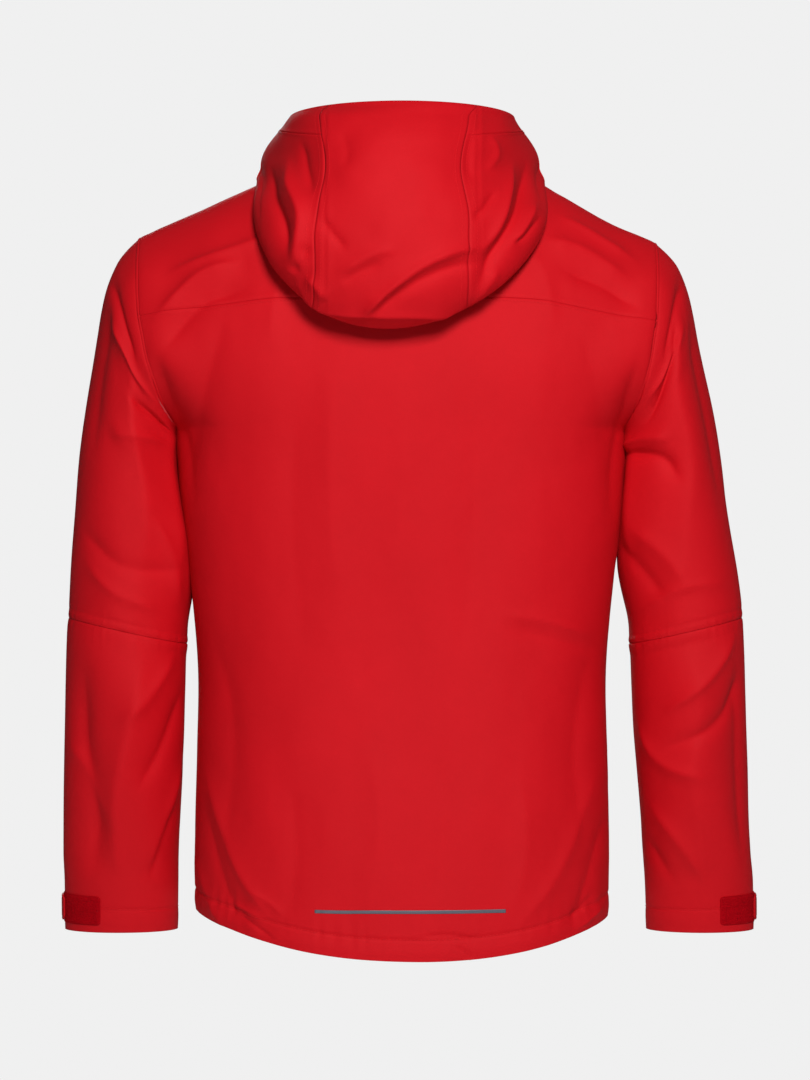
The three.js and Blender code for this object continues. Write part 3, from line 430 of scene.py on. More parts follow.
def z_to_height(x, z):
    part = np.clip((z - CHEST_Z) / (shoulder_z(x) - CHEST_Z), 0, 1)
    return np.where(z <= CHEST_Z, z - CHEST_Z, CLOSURE_HEIGHT * np.arcsin(part) / (math.pi / 2))


def torso_points(side, u, h):
    z = height_to_z(np.full_like(h, FIRST_X), h)
    x = column_x(u, z)
    for _ in range(ROUNDS):
        z = height_to_z(x, h)
        x = column_x(u, z)
    return np.stack([x, torso_y(side, x, z), z], axis=-1)


def height_of_line(u, line):
    z = line(np.full_like(u, FIRST_X))
    for _ in range(ROUNDS):
        z = line(np.abs(column_x(u, z)))
    return z_to_height(column_x(u, z), z)


def back_hem(x):
    return HEM_SIDE_Z - DROP_TAIL * (1 - np.clip(x / HEM_HALF_WIDTH, 0, 1) ** 2)


def front_hem(x):
    return np.full_like(x, HEM_SIDE_Z)


def yoke_seam(x):
    return YOKE_SEAM_Z - YOKE_SEAM_DROP * (x / SHOULDER_TIP_X) ** 2


def back_top(x):
    neck = BACK_NECK_Z - BACK_NECK_DROP * np.minimum(x / NECK_HALF_WIDTH, 1) ** 2
    return np.where(x >= NECK_HALF_WIDTH, shoulder_z(x), np.minimum(neck, shoulder_z(x)))


def front_top(x):
    drop = (SHOULDER_NECK_Z - FRONT_NECK_Z) * (1 - np.minimum(x / NECK_HALF_WIDTH, 1) ** 2) ** 0.6
    return np.where(x >= NECK_HALF_WIDTH, shoulder_z(x), SHOULDER_NECK_Z - drop)


# ------------------------------------------------------------ folds: (x, z) along each, width and height
BACK_FOLDS = (
    (((150, -78), (200, -96), (246, -140)), 15, 6.0, 0.6),
    (((118, -52), (176, -72), (236, -92)), 12, 4.6, 0.6),
    (((140, -104), (196, -124), (240, -176)), 13, -4.2),
    (((96, -60), (120, -108), (128, -170)), 14, 2.2),
    (((-132, -56), (-184, -66), (-240, -96)), 12, 6.0, 1.8),
    (((-150, -28), (-200, -50), (-244, -74)), 9, 4.4),
    (((-148, -84), (-204, -98), (-244, -122)), 11, -4.8),
    (((-120, -64), (-140, -96), (-150, -150)), 13, 1.8),
    (((64, -165), (70, -300), (60, -430)), 22, 1.8),
    (((6, -150), (0, -270), (10, -430)), 28, 2.0),
    (((-62, -170), (-70, -330), (-56, -480)), 24, -2.0),
    (((98, -190), (106, -330), (92, -520)), 26, -2.2),
    (((242, -158), (230, -205), (212, -262), (202, -330)), 13, -4.6),
    (((166, -120), (190, -200), (212, -290)), 18, -3.0),
    (((-240, -158), (-226, -212), (-211, -272), (-204, -345)), 13, -5.2),
    (((-176, -130), (-192, -200), (-206, -290)), 20, -2.0),
    (((192, -420), (166, -540), (180, -690)), 20, -3.4),
    (((200, -560), (166, -660), (120, -728)), 12, 3.4, 0.6),
    (((198, -600), (176, -680), (150, -738)), 9, -3.0),
    (((206, -660), (190, -700), (172, -735)), 7, 2.6),
    (((-190, -430), (-170, -560), (-186, -690)), 20, -3.2),
    (((-88, -421), (-140, -430), (-196, -446)), 7, 2.4, 0.6),
    (((-100, -434), (-150, -446), (-196, -462)), 8, -2.0),
    (((-198, -560), (-158, -660), (-104, -728)), 13, 3.6),
    (((-204, -610), (-182, -680), (-160, -735)), 9, -3.0),
    (((-112, -560), (-120, -650), (-96, -735)), 18, 2.2),
    (((172, -700), (150, -711), (128, -721)), 3.5, 2.0),
    (((162, -712), (142, -724), (122, -738)), 3.2, -1.8),
    (((152, -688), (130, -700), (112, -716)), 3.5, 1.6),
    (((-190, -690), (-176, -704), (-158, -717)), 4, -2.0),
    (((-200, -702), (-186, -713), (-170, -724)), 3.5, 1.8),
    (((-12, -731), (-46, -728), (-80, -732)), 2.6, -1.6),
    (((-50, -737), (-61, -744), (-68, -752)), 2.6, -1.5),
    (((32, -540), (22, -630), (36, -735)), 20, 2.2),
    (((-32, -520), (-40, -620), (-28, -738)), 22, -1.8),
    (((112, -560), (102, -650), (112, -735)), 18, -2.0),
)
FRONT_FOLDS = (
    (((120, -60), (175, -90), (235, -130)), 15, 3.0),
    (((-120, -60), (-175, -90), (-235, -130)), 15, 3.0),
    (((215, -170), (190, -260), (176, -380)), 16, 3.6),
    (((-215, -170), (-190, -260), (-176, -380)), 16, 3.6),
    (((70, -200), (60, -380), (74, -640)), 28, 2.0),
    (((-66, -180), (-74, -380), (-60, -640)), 28, 2.0),
    (((180, -480), (150, -600), (110, -700)), 18, 2.2),
    (((-184, -470), (-150, -590), (-116, -700)), 18, 2.2),
)


FOLD_GAIN = 1.25  # the folds of the hood and sleeves are this much deeper than drawn
SIDE_FADE = 0.03  # part of a half width over which the folds end before the side and the armhole
TOP_FADE = 4  # the same before the shoulder line
TORSO_WAVES = ((2.0, 75, 260, 7, 0, 11), (0.7, 32, 90, 0, 0, 12), (0.22, 12, 20, 0, 0, 13))


def seam_ridge(distance, swell=0.8, groove=0.7):
    """Cloth swells on both sides of a seam and dips at the seam itself."""
    return swell * bell(distance, 6) - groove * bell(distance, 1.6)


def puckers(along, distance, amplitude, wave, reach, seed):
    """Short ripples that run across a gathered line."""
    shift = 1.6 * noise(along / (3 * wave), distance * 0 + 3.3, seed)
    height = 0.6 + 0.4 * noise(along / wave, distance * 0 + 8.1, seed + 1)
    ripple = np.sin(2 * math.pi * (along / wave + shift))
    return amplitude * height * ripple * np.exp(-np.abs(distance) / reach)


def torso_relief(side, points, u):
    x, z = points[..., 0], points[..., 2]
    depth = folds(x, z, BACK_FOLDS if side > 0 else FRONT_FOLDS)
    depth = rumple(depth, x, z, TORSO_WAVES)
    hem = back_hem(np.abs(x)) if side > 0 else front_hem(np.abs(x))
    above = z - hem
    depth += bell(above - TUNNEL_MIDDLE, 8) - bell(above - TUNNEL_HEIGHT, 1.8)
    depth += puckers(x, above - TUNNEL_HEIGHT, 0.8, 13, 10, 21)
    depth *= smooth((1 - np.abs(u)) / SIDE_FADE)
    if side > 0:
        depth += seam_ridge(z - yoke_seam(np.abs(x)))
        depth *= 1 - smooth((z_to_height(x, z) - CLOSURE_HEIGHT + TOP_FADE) / TOP_FADE)
    return depth


def armhole_lift(z):
    """How far the armhole seam is pulled out from the body, so that the sleeve runs on without a dip."""
    return ARMHOLE_LIFT * smooth((SHOULDER_TIP_Z - z) / 45) * smooth((z - ARMPIT_Z - 12) / 75)


def draped(side, u, h):
    """The cloth over a grid of places on the torso: rows run upwards and columns run across."""
    base = torso_points(side, u, h)
    inset = edge_x(base[..., 2]) - np.abs(base[..., 0])
    base[..., 1] += side * armhole_lift(base[..., 2]) * bell(inset, ARMHOLE_LIFT_WIDTH)
    normals = grid_normals(base, flip=side > 0)
    relief = torso_relief(side, base, u)
    return settle(base + normals * relief[..., None])


def torso_grid(side, u, low, high, rows, level=None):
    """A panel between two lines. With a level, the rows below that height are level."""
    columns = np.asarray(u, float)
    h_low, h_high = height_of_line(columns, low)[None], height_of_line(columns, high)[None]
    v = np.asarray(rows)[:, None]
    if level is None:
        h = mix(h_low, h_high, v)
    else:
        h = np.where(v < LEVEL_PART, mix(h_low, level, v / LEVEL_PART),
                     mix(level, h_high, (v - LEVEL_PART) / (1 - LEVEL_PART)))
    points = draped(side, np.broadcast_to(columns, h.shape), h)
    return points, grid_normals(points, flip=side > 0)


def dense_ends(count, low=True, high=True):
    """Values from 0 to 1, closer together at the chosen ends."""
    t = np.linspace(0, 1, count)
    if low and high:
        return mix(t, (1 - np.cos(math.pi * t)) / 2, 0.75)
    if low:
        return mix(t, 1 - np.cos(math.pi / 2 * t), 0.7)
    return mix(t, np.sin(math.pi / 2 * t), 0.7)


# ------------------------------------------------------------ materials
def node_material(name):
    material = bpy.data.materials.new(name)
    material.use_nodes = True
    tree = material.node_tree
    shader = tree.nodes["Principled BSDF"]
    return material, tree, shader


def feed(tree, node, values):
    """Gives inputs of a node a value each, or a link from an output of another node."""
    for name, value in values.items():
        if isinstance(value, bpy.types.NodeSocket):
            tree.links.new(value, node.inputs[name])
        else:
            node.inputs[name].default_value = value


def new_node(tree, kind, values):
    node = tree.nodes.new("ShaderNode" + kind)
    feed(tree, node, values)
    return node


def math_node(tree, operation, *values):
    node = new_node(tree, "Math", dict(enumerate(values)))
    node.operation = operation
    return node.outputs[0]


def weighted_sum(tree, *terms):
    first, *others = [math_node(tree, "MULTIPLY", value, weight) for value, weight in terms]
    for other in others:
        first = math_node(tree, "ADD", first, other)
    return first


def surface(tree, shader, blend, stops, height, relief, values):
    """Colour from a ramp over the blend, relief from the height, and plain values for the rest."""
    ramp = new_node(tree, "ValToRGB", {0: blend})
    for element, (position, colour) in zip(ramp.color_ramp.elements, stops):
        element.position = position
        element.color = (*colour, 1)
    bump = new_node(tree, "Bump", {"Distance": relief, "Height": height})
    feed(tree, shader, {"Base Color": ramp.outputs[0], "Normal": bump.outputs[0], **values})


def woven(name, dark, light, yarn=0.00042, roughness=0.7, specular=0.18, relief=0.00006, mottle=0.35,
          mapped=True):
    """Plain weave: yarns cross over and under at real scale; the colour varies a little over the cloth.
    A mapped weave follows the lengths along the cloth, and any other lies level and upright in space."""
    material, tree, shader = node_material(name)
    place = tree.nodes.new("ShaderNodeTexCoord").outputs["Object"]
    lengths = place
    if mapped:
        uv = tree.nodes.new("ShaderNodeUVMap")
        uv.uv_map = "cloth"
        lengths = uv.outputs[0]
    split = new_node(tree, "SeparateXYZ", {0: lengths})
    yarns = []
    for axis in (0, 1 if mapped else 2):
        phase = math_node(tree, "MULTIPLY", split.outputs[axis], math.pi / yarn)
        yarns.append(math_node(tree, "SINE", phase))
    cells = math_node(tree, "ABSOLUTE", math_node(tree, "MULTIPLY", *yarns))
    fine = new_node(tree, "TexNoise", {"Scale": 900, "Detail": 3, "Vector": place}).outputs[0]
    broad = new_node(tree, "TexNoise", {"Scale": 14, "Detail": 4, "Vector": place}).outputs[0]
    blend = weighted_sum(tree, (broad, mottle), (fine, 0.35), (cells, 0.3))
    height = weighted_sum(tree, (cells, 0.7), (fine, 0.6))
    surface(tree, shader, blend, ((0.1, dark), (0.9, light)), height, relief,
            {"Roughness": roughness, "Specular IOR Level": specular})
    return material


def plain(name, colour, roughness, metallic=0.0, grain=300, relief=0.00004, specular=0.5, dark=0.75):
    """Moulded or plated surface with a fine grain."""
    material, tree, shader = node_material(name)
    place = tree.nodes.new("ShaderNodeTexCoord").outputs["Object"]
    texture = new_node(tree, "TexNoise", {"Scale": grain, "Detail": 5, "Vector": place}).outputs[0]
    stops = ((0.3, [part * dark for part in colour]), (0.7, colour))
    surface(tree, shader, texture, stops, texture, relief,
            {"Roughness": roughness, "Metallic": metallic, "Specular IOR Level": specular})
    return material


RED = woven("red face fabric", (0.50, 0.0008, 0.005), (0.66, 0.0016, 0.009))
FLAT_RED = woven("red facing fabric", (0.40, 0.0008, 0.005), (0.50, 0.0016, 0.009), mapped=False)
GREY_YARNS = ((0.30, 0.31, 0.33), (0.42, 0.43, 0.45))
BACKER = woven("grey knitted backer", *GREY_YARNS, yarn=0.0007, relief=0.0001)
FLAT_BACKER = woven("grey pocket lining", *GREY_YARNS, yarn=0.0007, relief=0.0001, mapped=False)
DARK_RED = woven("red tab fabric", (0.44, 0.0007, 0.005), (0.60, 0.0014, 0.008), yarn=0.0006)
PILE = woven("loop pile", (0.37, 0.0006, 0.004), (0.56, 0.0013, 0.008), yarn=0.0011, roughness=1.0,
             specular=0.05, relief=0.0005, mottle=0.5)
# The thread is a lighter red than the face fabric: a painted highlight along the raised stitches.
PAINTED_HIGHLIGHT_THREAD = woven("sewing thread lightened as painted highlight", (0.62, 0.006, 0.012), (0.78, 0.012, 0.02), yarn=0.0003, mapped=False)
REFLECTIVE = plain("reflective film", (0.115, 0.115, 0.145), 0.32, grain=1200, relief=0.00002)
WEBBING = woven("black webbing", (0.008, 0.008, 0.010), (0.03, 0.03, 0.034), yarn=0.0008, relief=0.0002,
                mapped=False)
PLASTIC = plain("black plastic", (0.02, 0.02, 0.023), 0.42)
METAL = plain("plated zinc", (0.16, 0.16, 0.17), 0.36, metallic=1.0, grain=700, relief=0.00001)
FLAT_TAPE = woven("coated zip tape", (0.26, 0.0005, 0.004), (0.36, 0.001, 0.006), yarn=0.0005, mapped=False)
COIL = plain("red zip coil", (0.26, 0.004, 0.010), 0.4)
PANEL = (RED, BACKER)


# ------------------------------------------------------------ torso pieces
def columns_by_length(low_u, high_u, step, z=-60.0):
    """Columns that are evenly spaced along the level section at a height."""
    fine = np.linspace(low_u, high_u, 2001)
    points = torso_points(1, fine, np.full_like(fine, z - CHEST_Z if z < CHEST_Z else 100.0))
    length = np.concatenate([[0], np.cumsum(np.linalg.norm(np.diff(points, axis=0), axis=1))])
    count = int(length[-1] / step) + 1
    return np.interp(np.linspace(0, length[-1], count), length, fine)


def back_pieces():
    columns = columns_by_length(-1, 1, GRID)
    for name, low, high, rows, thickness in (("yoke", yoke_seam, back_top, dense_ends(80, high=False), CLOTH),
                                             ("panel", back_hem, yoke_seam, dense_ends(240), BODY_CLOTH)):
        points, normals = torso_grid(1, columns, low, high, rows)
        piece = sheet_object(f"back_{name}_cloth", points, normals, True, PANEL, thickness)
        declare(piece, "shell_red", f"back_{name}", body="shell")


def pocket_columns(sign):
    """Columns of the two long edges of a pocket's slot."""
    middle = np.full(2, (POCKET_TOP_Z + POCKET_BOTTOM_Z) / 2.0)
    edges = np.array([POCKET_X - SLOT_WIDTH / 2, POCKET_X + SLOT_WIDTH / 2])
    return np.sort(column_for(sign * edges, middle))


def front_pieces():
    for side, sign in SIDES:
        first = column_for(np.array(FRONT_EDGE_X * 1.0), np.array(-60.0))
        columns = columns_by_length(float(first), 1, GRID)
        columns = columns if sign > 0 else -columns[::-1]
        slot = pocket_columns(sign)
        clear = np.min(np.abs(columns - slot[:, None]), axis=0) > 0.004
        columns = np.sort(np.concatenate([columns[clear], slot]))
        points, normals = torso_grid(-1, columns, front_hem, front_top, dense_ends(260), LEVEL_HEIGHT)
        centre = (columns[:-1] + columns[1:]) / 2
        height = (points[:-1, :-1, 2] + points[1:, :-1, 2]) / 2
        cut = (height > POCKET_BOTTOM_Z - SLOT_END) & (height < POCKET_TOP_Z + SLOT_END)
        cut &= (centre > slot.min()) & (centre < slot.max())
        piece = sheet_object(f"front_{side}_cloth", points, normals, False, PANEL, BODY_CLOTH, open_quads=cut)
        declare(piece, "shell_red", f"front_panel_{side}", body="shell")


# ------------------------------------------------------------ sleeves
def armhole_points(angle):
    middle = (SHOULDER_TIP_Z + ARMPIT_Z) / 2
    z = middle + (SHOULDER_TIP_Z - ARMPIT_Z) / 2 * np.cos(angle)
    x = edge_x(z)
    return np.stack([x, torso_y(np.where(np.sin(angle) >= 0, 1, -1), x, z), z], axis=-1)


def sleeve_ring(outer, inner, depth, lean, t, angle, slim=0.0):
    ox, oz = curve(outer, t, 1), curve(outer, t, 2)
    ix, iz = curve(inner, t, 1), curve(inner, t, 2)
    c = np.cos(angle)
    return np.stack([(ox + ix) / 2 + (ox - ix) / 2 * c * (1 - slim), -lean + depth * np.sin(angle),
                     (oz + iz) / 2 + (oz - iz) / 2 * c], axis=-1)


def upper_sleeve(angle, t, side="left"):
    depth = curve(SLEEVE_UPPER_DEPTHS, t)
    slim = SLIM[side] * smooth((t - 0.35) / 0.5)
    ring = sleeve_ring(SLEEVE_UPPER_OUTER, SLEEVE_UPPER_INNER, depth, 0, t, angle, slim)
    edge = armhole_points(angle)
    own = smooth(t / 0.3)
    ring[..., 1] = mix(edge[..., 1], ring[..., 1], own)
    start = sleeve_ring(SLEEVE_UPPER_OUTER, SLEEVE_UPPER_INNER, depth, 0, t * 0, angle)
    ring[..., 0] += (edge[..., 0] - start[..., 0]) * (1 - own) + hang(ring[..., 2], side)
    seam = armhole_lift(edge[..., 2]) * bell(t * UPPER_SLEEVE_LENGTH, ARMHOLE_LIFT_WIDTH)
    ring[..., 1] += np.sign(np.sin(angle)) * seam
    inward = np.maximum(-np.cos(angle), 0) ** 2
    ring[..., 0] -= UNDERARM_TOUCH * inward * smooth(t / 0.06) * smooth((0.97 - t) / 0.2)
    return ring


def hang(z, side):
    """How far outwards a point of the sleeve hangs: the right arm hangs wider than the left."""
    elbow, cuff = ARM_HANG[side]
    return (elbow * smooth((ELBOW_HANG_START - z) / ELBOW_HANG_LENGTH)
            + cuff * smooth((CUFF_HANG_START - z) / CUFF_HANG_LENGTH))


def lower_sleeve(angle, t, side="left"):
    lean = FOREARM_LEAN * t * t * (1.6 - 0.6 * t)
    depth = curve(SLEEVE_LOWER_DEPTHS, t)
    ring = sleeve_ring(SLEEVE_LOWER_OUTER, SLEEVE_LOWER_INNER, depth, lean, t, angle, SLIM[side])
    ring[..., 0] += hang(ring[..., 2], side)
    return ring


# Folds on the sleeves: the angle in degrees (0 outer edge, 90 back, 180 inner edge), then the length in mm.
UPPER_SLEEVE_FOLDS = {
    "left": (
        (((158, 30), (150, 130), (146, 250), (140, 340)), 20, 5.5),
        (((104, 20), (98, 120), (112, 230), (104, 350)), 26, 5.0, 0.7),
        (((52, 50), (44, 130), (50, 230)), 24, -4.6),
        (((20, 50), (60, 40), (84, 34), (104, 30)), 11, -4.6, 0.7),
        (((48, 74), (88, 56), (134, 40)), 14, 3.4),
        (((92, 118), (124, 92), (158, 70)), 9, -4.0), (((70, 190), (104, 160), (150, 120)), 12, 3.0),
        (((40, 322), (84, 348), (130, 352)), 9, 2.4), (((30, 290), (88, 318), (160, 300)), 11, -2.6),
        (((118, 250), (136, 300), (150, 352)), 9, 2.8),
    ),
    "right": (
        (((160, 30), (152, 130), (148, 230), (146, 330)), 20, 6.0),
        (((70, 30), (84, 110), (78, 230), (96, 350)), 26, 5.0, 1.4),
        (((36, 60), (40, 160), (34, 300)), 22, -4.4),
        (((16, 50), (50, 41), (76, 35), (100, 30)), 11, -4.6, 0.7),
        (((50, 70), (90, 54), (132, 38)), 14, 3.4),
        (((172, 120), (140, 150), (108, 190), (84, 240)), 11, -5.5, 0.6),
        (((168, 96), (130, 132), (96, 176)), 12, 3.6),
        (((60, 40), (92, 66), (130, 110)), 13, -4.0), (((150, 250), (110, 300), (84, 350)), 12, 3.0),
        (((40, 350), (95, 338), (150, 352)), 9, 2.0), (((166, 268), (136, 306), (110, 352)), 10, -3.0),
    ),
}
LOWER_SLEEVE_FOLDS = {
    "left": (
        (((112, 6), (100, 90), (86, 180), (92, 290)), 26, 6.0, 0.7),
        (((52, 20), (50, 110), (68, 190), (60, 280)), 24, -7.0),
        (((150, 8), (120, 56), (84, 104)), 10, 3.0), (((168, 40), (136, 110), (104, 170)), 11, -3.4),
        (((172, 120), (144, 190), (116, 262)), 11, 3.2), (((160, 170), (136, 220), (120, 280)), 9, -2.8),
        (((20, 120), (56, 150), (84, 210)), 12, 2.2),
    ),
    "right": (
        (((96, 6), (84, 70), (92, 160), (80, 290)), 26, 5.0, 1.3),
        (((38, 20), (34, 130), (40, 270)), 22, -4.6),
        (((34, 8), (72, 50), (124, 84)), 11, 3.4, 0.6), (((24, 50), (62, 96), (130, 122)), 11, -4.0),
        (((164, 80), (128, 130), (70, 158)), 10, 3.0), (((150, 170), (112, 220), (74, 290)), 12, 3.0),
        (((160, 210), (130, 250), (104, 300)), 10, -2.8),
    ),
}


def sleeve_relief(angle, length, strokes, seed):
    degrees = np.degrees(angle)
    wrapped = np.where(degrees > 270, degrees - 360, degrees)
    depth = FOLD_GAIN * folds(wrapped * 1.0, length, strokes)
    front = np.where(wrapped < 0, -wrapped, 360 - wrapped)
    depth = depth + FRONT_FOLD_GAIN * folds(front * 1.0, length, strokes)
    across = wrapped * LENGTH_PER_DEGREE
    depth += 1.6 * noise(np.cos(angle) * 1.3 + 5, length / 120 + np.sin(angle), seed)
    depth += 0.5 * noise(across / 26, length / 46, seed + 1) * np.abs(np.sin(angle / 2))
    return depth


def lap_under(points, normals):
    """The first two rows of a sleeve run under the body's edge, as a seam allowance does."""
    along = points[2] - points[1]
    along /= np.linalg.norm(along, axis=-1, keepdims=True)
    lapped = points.copy()
    lapped[0] = points[1] - along * SEAM_LAP - normals[1] * SEAM_SINK
    lapped[1] = points[1] - normals[1] * SEAM_STEP
    return lapped


def puffed(points, relief):
    """The rows of a sleeve with its folds, and their normals. The first two rows run under the seam."""
    points = points + grid_normals(points, True, ring=True) * relief[..., None]
    normals = grid_normals(points, True, ring=True)
    return lap_under(points, normals), normals


def sleeve_rows(*stretches):
    """Rows and columns of a sleeve: the part of its length and the angle at each point."""
    t = np.concatenate([np.linspace(*stretch) for stretch in stretches])
    return np.meshgrid(t, RING_ANGLES, indexing="ij")


def sleeve_pieces():
    for k, (side, sign) in enumerate(SIDES):
        mirror = np.array([sign, 1, 1.0])
        t, angle = sleeve_rows((0, 0.004, 2), (0.01, 0.94, 118), (0.945, 1, 24))
        length = UPPER_SLEEVE_LENGTH * t
        relief = sleeve_relief(angle, length, UPPER_SLEEVE_FOLDS[side], 31 + 7 * k) * smooth(t / HEAD_CALM)
        relief *= smooth((UPPER_SLEEVE_LENGTH - length) / SEAM_CALM)
        relief += elbow_gather(angle, UPPER_SLEEVE_LENGTH - length, 41 + k, above=True)
        points, normals = puffed(upper_sleeve(angle, t, side), relief)
        piece = sheet_object(f"sleeve_upper_{side}_cloth", settle(points * mirror), normals * mirror,
                             sign > 0, PANEL, ring=True)
        declare(piece, "shell_red", f"sleeve_upper_{side}")
        weigh(piece)
        t, angle = sleeve_rows((0, 0.06, 24), (0.065, 0.9, 90), (0.905, 1, 30))
        length = LOWER_SLEEVE_LENGTH * t
        relief = sleeve_relief(angle, length, LOWER_SLEEVE_FOLDS[side], 51 + 7 * k)
        relief *= mix(CALM_GAIN, 1.0, smooth((CUFF_CALM - t) / 0.1)) * smooth(length / SEAM_CALM)
        relief += elbow_gather(angle, length, 41 + k)
        hem = length - LOWER_SLEEVE_LENGTH * CUFF_HEM_START
        relief += CUFF_SWELL * bell(hem - 12, 10) - CUFF_SWELL * bell(hem, 1.7)
        points, normals = puffed(lower_sleeve(angle, t, side), relief)
        piece = sheet_object(f"sleeve_lower_{side}_cloth", points * mirror, normals * mirror, sign > 0, PANEL,
                             LOWER_SLEEVE_CLOTH, ring=True)
        declare(piece, "shell_red", f"sleeve_lower_{side}", f"cuff_hem_{side}")
        weigh(piece)


def elbow_gather(angle, distance, seed, above=False):
    """The elastic seam at the elbow puckers the sleeve. Above the seam the elastic makes a band."""
    around = np.degrees(angle) * LENGTH_PER_DEGREE
    back = 0.2 + 0.8 * smooth(np.sin(angle) + 0.6)
    depth = -0.12 * bell(distance, 1.8)
    depth += puckers(around, distance, 1.5, 7.0, 8, seed) * (1 - bell(distance, 1.5))
    if above:
        depth += 0.4 * bell(distance - 4, 3) - 0.25 * bell(distance - 9, 1.8)
    else:
        depth += 0.45 * bell(distance - 6, 5)
    return back * depth


def armhole_welts():
    """The turned seam allowance makes a low ridge over each armhole seam."""
    across = np.array(WELT_STOPS)
    for side, sign in SIDES:
        for half, name, turn in ((1, "back", math.pi), (-1, "front", -math.pi)):
            angle = turn * np.linspace(1, 0, 170)[:, None]
            edge = armhole_points(angle)
            h = z_to_height(edge_x(edge[..., 2]), edge[..., 2])
            on_body = across[across <= 0][None]
            u = sign * (1 + on_body / HALF_SECTION)
            body = draped(half, u + 0 * h, h + 0 * u)
            on_sleeve = across[across > 0][None]
            sleeve = upper_sleeve(angle + 0 * on_sleeve, on_sleeve / UPPER_SLEEVE_LENGTH + 0 * angle, side)
            points = np.concatenate([body, settle(sleeve * np.array([sign, 1, 1.0]))], axis=1)
            normals = grid_normals(points, sign * half > 0)
            ridge = WELT_HEIGHT * (1 - WELT_ROUNDING * (across / across.max()) ** 2)
            points = points + normals * ridge[None, :, None]
            piece = sheet_object(f"armhole_seam_{name}_{side}", points, normals, sign * half > 0,
                                 (RED, RED), WELT_CLOTH)
            declare(piece, "shell_red", body="shell")


# ------------------------------------------------------------ hood and collar
HOOD_FOLDS = (
    (((104, -88), (92, -118), (70, -133), (12, -138), (-62, -133), (-92, -112)), 6, 2.4, 0.8),
    (((40, -140), (29, -130), (9, -112), (-23, -90), (-56, -76), (-88, -72)), 9, 5.5, 0.5),
    (((36, -146), (14, -126), (-18, -104), (-52, -90), (-84, -86)), 7, -3.0),
    (((66, -101), (41, -88), (22, -79), (0, -76)), 7, 2.6, 0.6),
    (((60, -108), (38, -96), (16, -87)), 6, -2.2),
    (((78, -42), (66, -60), (50, -78)), 5, -2.6),
    (((112, 28), (106, -8), (94, -40), (97, -78), (92, -104)), 8, 8.0, 2.2),
    (((130, 22), (126, -12), (114, -48), (104, -88)), 9, -7.5),
    (((98, 40), (92, 6), (84, -24)), 6, -3.0),
    (((88, -66), (96, -84), (104, -96)), 6, -3.2),
    (((92, -98), (80, -110), (70, -124)), 8, 3.0),
    (((-124, 30), (-120, -6), (-110, -42), (-86, -82), (-66, -132)), 8, -8.0, 1.6),
    (((-110, 24), (-103, -20), (-93, -52), (-72, -84)), 8, 6.0),
    (((-132, -18), (-122, -44), (-104, -72)), 6, 3.6),
    (((-136, -34), (-120, -58), (-106, -66)), 4, -3.0),
    (((-92, -12), (-80, -32), (-66, -48)), 5, -2.8),
    (((-84, 44), (-92, 22), (-80, 2)), 6, 2.4),
    (((-70, 48), (-64, 16), (-68, -12)), 6, -1.8),
    (((60, 44), (52, 20), (56, 2)), 9, -1.4),
    (((-92, -90), (-84, -104), (-64, -128)), 7, 2.4),
)
HOOD_WAVES = ((1.6, 42, 52, 3, 9, 61), (0.5, 17, 19, 0, 0, 62))
HOOD_SWAY = 12  # the bag has slipped to the wearer's left
SIDE_PINCH = (0.10, 0.12)  # on the left and on the right
SIDE_PINCH_Z, SIDE_PINCH_LENGTH = 8, 36
EDGE_FALL = 0.5  # how far the bag's bottom edge falls in with its sides
BRIM_PART = 0.205  # part of the crown profile that the brim takes
HOOD_PROFILE = 300  # length of that profile
HOOD_FRONT_ANGLE = 125 * DEGREE
HOOD_END_ANGLE = 174 * DEGREE


def from_shoulder(x, z):
    """How far a place lies from the shoulder line: 0 on it and 1 at the chest."""
    below = np.minimum(z, shoulder_z(x) - 0.02)
    return (CLOSURE_HEIGHT - z_to_height(x, below)) / CLOSURE_HEIGHT


def neck_column(angle):
    """Place of the neckline as (x, a). a is 0 on the shoulder line, more on the back and less in front."""
    x = NECK_HALF_WIDTH * np.sin(angle)
    back = np.cos(angle) >= 0
    z = np.where(back, back_top(np.abs(x)), front_top(np.abs(x)))
    a = from_shoulder(x, z)
    return x, np.where(back, a, -a)


def towards_front(angle):
    """0 at the back and on the shoulders, 1 where the bag has run into the neckline."""
    return smooth((np.abs(angle) - math.pi / 2) / (HOOD_FRONT_ANGLE - math.pi / 2))


def bag_column(angle):
    """Place over the torso of the bottom edge of the bag, which runs into the neckline in front."""
    size = np.abs(angle)
    at = np.sign(angle) * np.minimum(size, math.pi / 2)
    x = BAG_HALF_WIDTH * np.sin(at)
    a = from_shoulder(x, -BAG_DEPTH * np.cos(at))
    t = towards_front(angle)
    neck_x, neck_a = neck_column(angle)
    return mix(x, neck_x, t), mix(a, neck_a, t)


def cape(x, a, distance):
    """Points over the shoulders, at a distance from the torso surface."""
    def place(px, pa):
        h = CLOSURE_HEIGHT * (1 - np.abs(pa))
        z = height_to_z(px, h)
        return np.stack([px, torso_y(np.where(pa >= 0, 1, -1), px, z), z], axis=-1)
    step = 0.004
    along = place(x, a + step) - place(x, a - step)
    across = place(x + 0.5, a) - place(x - 0.5, a)
    normal = np.cross(across, along)
    normal /= np.linalg.norm(normal, axis=-1, keepdims=True) + 1e-12
    return place(x, a) + normal * np.asarray(distance)[..., None]


def neck_panel(angle, t):
    top_x, top_a = neck_column(angle)
    low_x, low_a = bag_column(angle)
    c = np.maximum(np.cos(angle), 0)
    closing = 1 - towards_front(angle)
    distance = 1.0 + (HOOD_REST_GAP + (2.6 + BAG_STANDOFF * c) * t * t) * closing * smooth(t / 0.15)
    return cape(mix(top_x, low_x, t), mix(top_a, low_a, t), distance)


